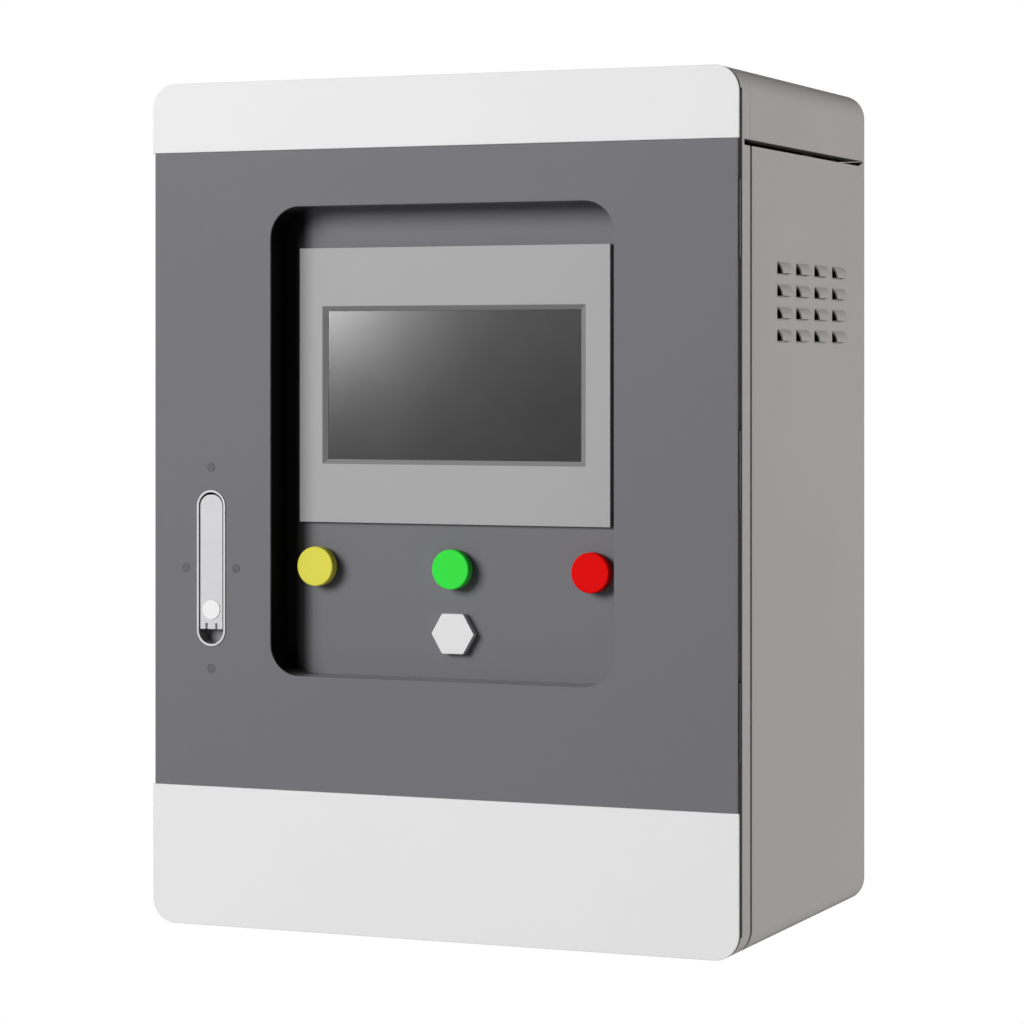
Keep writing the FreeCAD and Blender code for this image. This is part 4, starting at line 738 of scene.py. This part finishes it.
supply_pieces.append(screw("supply_trimmer", trimmer_place, 3 * mm, 3 * mm, clamp_plastic))
supply_unit = merge("supply_unit", supply_pieces)
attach(supply_unit, "cabinet")
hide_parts("power_supply")

# ------------------------------------------------------------------ controller
# Plastic-cased controller on the lower rail: plug-in clamp strips above and below, a sunk field with a
# row of small lamps, and cooling slots in its top and foot.

logic_low, logic_high = (Vector(corner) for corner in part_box("controller"))
logic_plastic = moulded("logic_plastic", (0.3, 0.31, 0.32), 0.5)
plug_plastic = moulded("plug_plastic", (0.04, 0.16, 0.07), 0.45)
strip_high = 14 * mm
strip_step = 16 * mm
strip_inset = 5 * mm
plug_count = 20
cooling_pitch = 6 * mm
cooling_count = 22
field_left = 6
field_right = 16
logic = solid("logic_case", (logic_low.x, logic_low.y + 6 * mm, logic_low.z), logic_high, logic_plastic)
logic_mid_z = (logic_low.z + logic_high.z) / 2
slice_at(logic, 2, [logic_low.z + strip_step, logic_high.z - strip_step])
cooling_first = logic_low.x + 8 * mm
slot_places = [cooling_first + cooling_pitch * step for step in range(cooling_count + 1)]
slice_at(logic, 0, [slot_places[field_left], slot_places[field_right]])
sink(logic, both(towards(1, -1), within(2, logic_low.z + strip_step, logic_high.z - strip_step)),
     margin=3 * mm, depth=1.2 * mm)
slice_at(logic, 0, slot_places[:field_left] + slot_places[field_left + 1:field_right]
         + slot_places[field_right + 1:])


def in_cooling_slot(face):
    """True for every other strip of the case's top and foot."""
    strip = (face.center.x - cooling_first) / cooling_pitch
    return (abs(face.normal.z) > 0.99 and abs(face.center.z - logic_mid_z) > end_reach
            and 0 < strip < cooling_count and int(strip) % 2 == 0)


sink(logic, in_cooling_slot, margin=1 * mm, depth=1.5 * mm)
logic_pieces = [ease(logic, 0.5 * mm)]
plug_pitch = (logic_high.x - logic_low.x - 2 * strip_inset) / plug_count
for side in (-1, 1):
    strip_mid = logic_mid_z + side * ((logic_high.z - logic_low.z) / 2 - strip_step / 2)
    strip = solid(f"plug_strip_{side}",
                  (logic_low.x + strip_inset, logic_low.y + 0.5 * mm, strip_mid - strip_high / 2),
                  (logic_high.x - strip_inset, logic_low.y + 7 * mm, strip_mid + strip_high / 2), plug_plastic)
    slice_at(strip, 0, [logic_low.x + strip_inset + plug_pitch * step for step in range(1, plug_count)])
    slice_at(strip, 2, [strip_mid])
    sink(strip, towards(1, -1), margin=0.9 * mm, depth=2.5 * mm)
    logic_pieces.append(strip)
for lamp in range(8):
    lamp_place = (logic_low.x + (52 + 6 * lamp) * mm, logic_low.y + 6.2 * mm, logic_mid_z + 18 * mm)
    logic_pieces.append(screw(f"logic_lamp_{lamp}", lamp_place, 1.3 * mm, 2.5 * mm, lamp_plastic))
logic_unit = merge("logic_unit", logic_pieces)
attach(logic_unit, "cabinet")
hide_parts("controller")

# ------------------------------------------------------------------ terminal blocks
# Fourteen rail-mounted clamp blocks, each a thin moulding with two clamp screws and two wire mouths. The
# last two are the green earth blocks.

terminal_low, terminal_high = (Vector(corner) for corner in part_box("terminal_blocks"))
block_wide = 8 * mm
block_pitch = 8.3 * mm
block_count = 14
earth_count = 2
terminal_plastic = moulded("terminal_plastic", (0.42, 0.41, 0.37), 0.5)
earth_plastic = moulded("earth_plastic", (0.13, 0.38, 0.1), 0.5)
block_mid_z = (terminal_low.z + terminal_high.z) / 2
block_half = (terminal_high.z - terminal_low.z) / 2
block_high = (terminal_low.x + block_wide, terminal_high.y, terminal_high.z)
pattern_block = solid("clamp_block", terminal_low, block_high, terminal_plastic)
slice_at(pattern_block, 2, [block_mid_z + block_half * share for share in (-0.75, -0.35, 0.35, 0.75)])
sink(pattern_block, both(towards(1, -1), lambda face: abs(face.center.z - block_mid_z) > block_half * 0.35),
     margin=1 * mm, depth=3 * mm)
pick(pattern_block,
     both(towards(1, -1), within(2, block_mid_z - block_half * 0.3, block_mid_z + block_half * 0.3)))
bpy.ops.mesh.extrude_region_shrink_fatten(TRANSFORM_OT_shrink_fatten={"value": -2.5 * mm})
close_up()
ease(pattern_block, 0.35 * mm, 1)
block_screws = []
for side in (-1, 1):
    screw_place = (terminal_low.x + block_wide / 2, terminal_low.y + 2 * mm,
                   block_mid_z + side * block_half * 0.55)
    block_screws.append(screw(f"block_screw_{side}", screw_place, 2.4 * mm, 2 * mm, screw_steel))
pattern_block = merge("clamp_block", [pattern_block] + block_screws)
for step in range(block_count):
    block = pattern_block if step == 0 else pattern_block.copy()
    if step:
        block.data = pattern_block.data.copy()
        scene.collection.objects.link(block)
        block.location.x = block_pitch * step
        bpy.ops.object.select_all(action="DESELECT")
        bpy.context.view_layer.objects.active = block
        block.select_set(True)
        bpy.ops.object.transform_apply(location=True, rotation=True, scale=True)
    block.name = f"clamp_block_{step + 1}"
    if step >= block_count - earth_count:
        block.data.materials[0] = earth_plastic
    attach(block, "cabinet")
    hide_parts("terminal_blocks")

# ------------------------------------------------------------------ earth bar
# Plain brass bar on two feet, screwed to the bottom of the mounting plate. The earth wires are clamped on
# it in a row.

dress(plated("bar_brass", (0.7, 0.5, 0.2), 0.35, 1.0), "earth_bar")

# ------------------------------------------------------------------ switch blocks
# Square black switch blocks behind the buttons and the selector, each with two clamp screws at its back
# and sunk sides.

switch_block_plastic = moulded("switch_block_plastic", (0.05, 0.055, 0.06), 0.5)
for control in ("yellow", "green", "red", "selector"):
    low, high = (Vector(corner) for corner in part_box(f"{control}_contact_block"))
    middle = (low + high) / 2
    block = solid(f"{control}_switch_block", low, high, switch_block_plastic)
    slice_at(block, 0, [middle.x])
    sink(block, towards(1, 1), margin=2 * mm, depth=4 * mm)
    sink(block, lambda face: abs(face.normal.z) > 0.99, margin=3 * mm, depth=1 * mm)
    ease(block, 0.5 * mm)
    heads = [screw(f"{control}_screw_{side}", (middle.x + side * 7 * mm, high.y - 2 * mm, middle.z),
                   3 * mm, 2.5 * mm, screw_steel, 1) for side in (-1, 1)]
    block = merge(f"{control}_switch_block", [block] + heads)
    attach(block, "door")
    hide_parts(f"{control}_contact_block")

# ------------------------------------------------------------------ back of the touch screen
# Black moulded housing that fills the panel's cut-out from behind, with a well for the display at the front,
# cooling slots across its back and a sunk socket at its foot.

housing_low, housing_high = (Vector(corner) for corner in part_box("hmi_rear_case"))
display_low, display_high = (Vector(corner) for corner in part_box("hmi_display"))
screen_case_plastic = moulded("screen_case_plastic", (0.035, 0.035, 0.037), 0.5)
well_gap = 0.3 * mm
slot_pitch = 8 * mm
slot_rows = 12
back = solid("screen_housing", housing_low, housing_high, screen_case_plastic)
well_low = display_low - Vector((well_gap, 0, well_gap))
well_high = display_high + Vector((well_gap, 0, well_gap))
slice_at(back, 0, [well_low.x, well_high.x])
slice_at(back, 2, [well_low.z, well_high.z])
pick(back, both(towards(1, -1), within(0, well_low.x, well_high.x), within(2, well_low.z, well_high.z)))
bpy.ops.mesh.extrude_region_shrink_fatten(
    TRANSFORM_OT_shrink_fatten={"value": housing_low.y - display_high.y - well_gap})
close_up()
slot_first = well_low.z + 10 * mm
slice_at(back, 2, [slot_first + slot_pitch * step for step in range(slot_rows + 1)])


def in_slot_row(face):
    """True for every other strip across the middle of the housing's back."""
    strip = (face.center.z - slot_first) / slot_pitch
    return (face.normal.y > 0.99 and 0 < strip < slot_rows and int(strip) % 2 == 0
            and well_low.x < face.center.x < well_high.x)


sink(back, in_slot_row, margin=1.5 * mm, depth=2 * mm)
sink(back, both(towards(2, -1), within(0, well_low.x, well_high.x), within(1, housing_low.y, housing_high.y),
                lambda face: face.center.z < housing_low.z + 1 * mm), margin=8 * mm, depth=5 * mm)
ease(back, 0.8 * mm)
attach(back, "door")
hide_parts("hmi_rear_case")
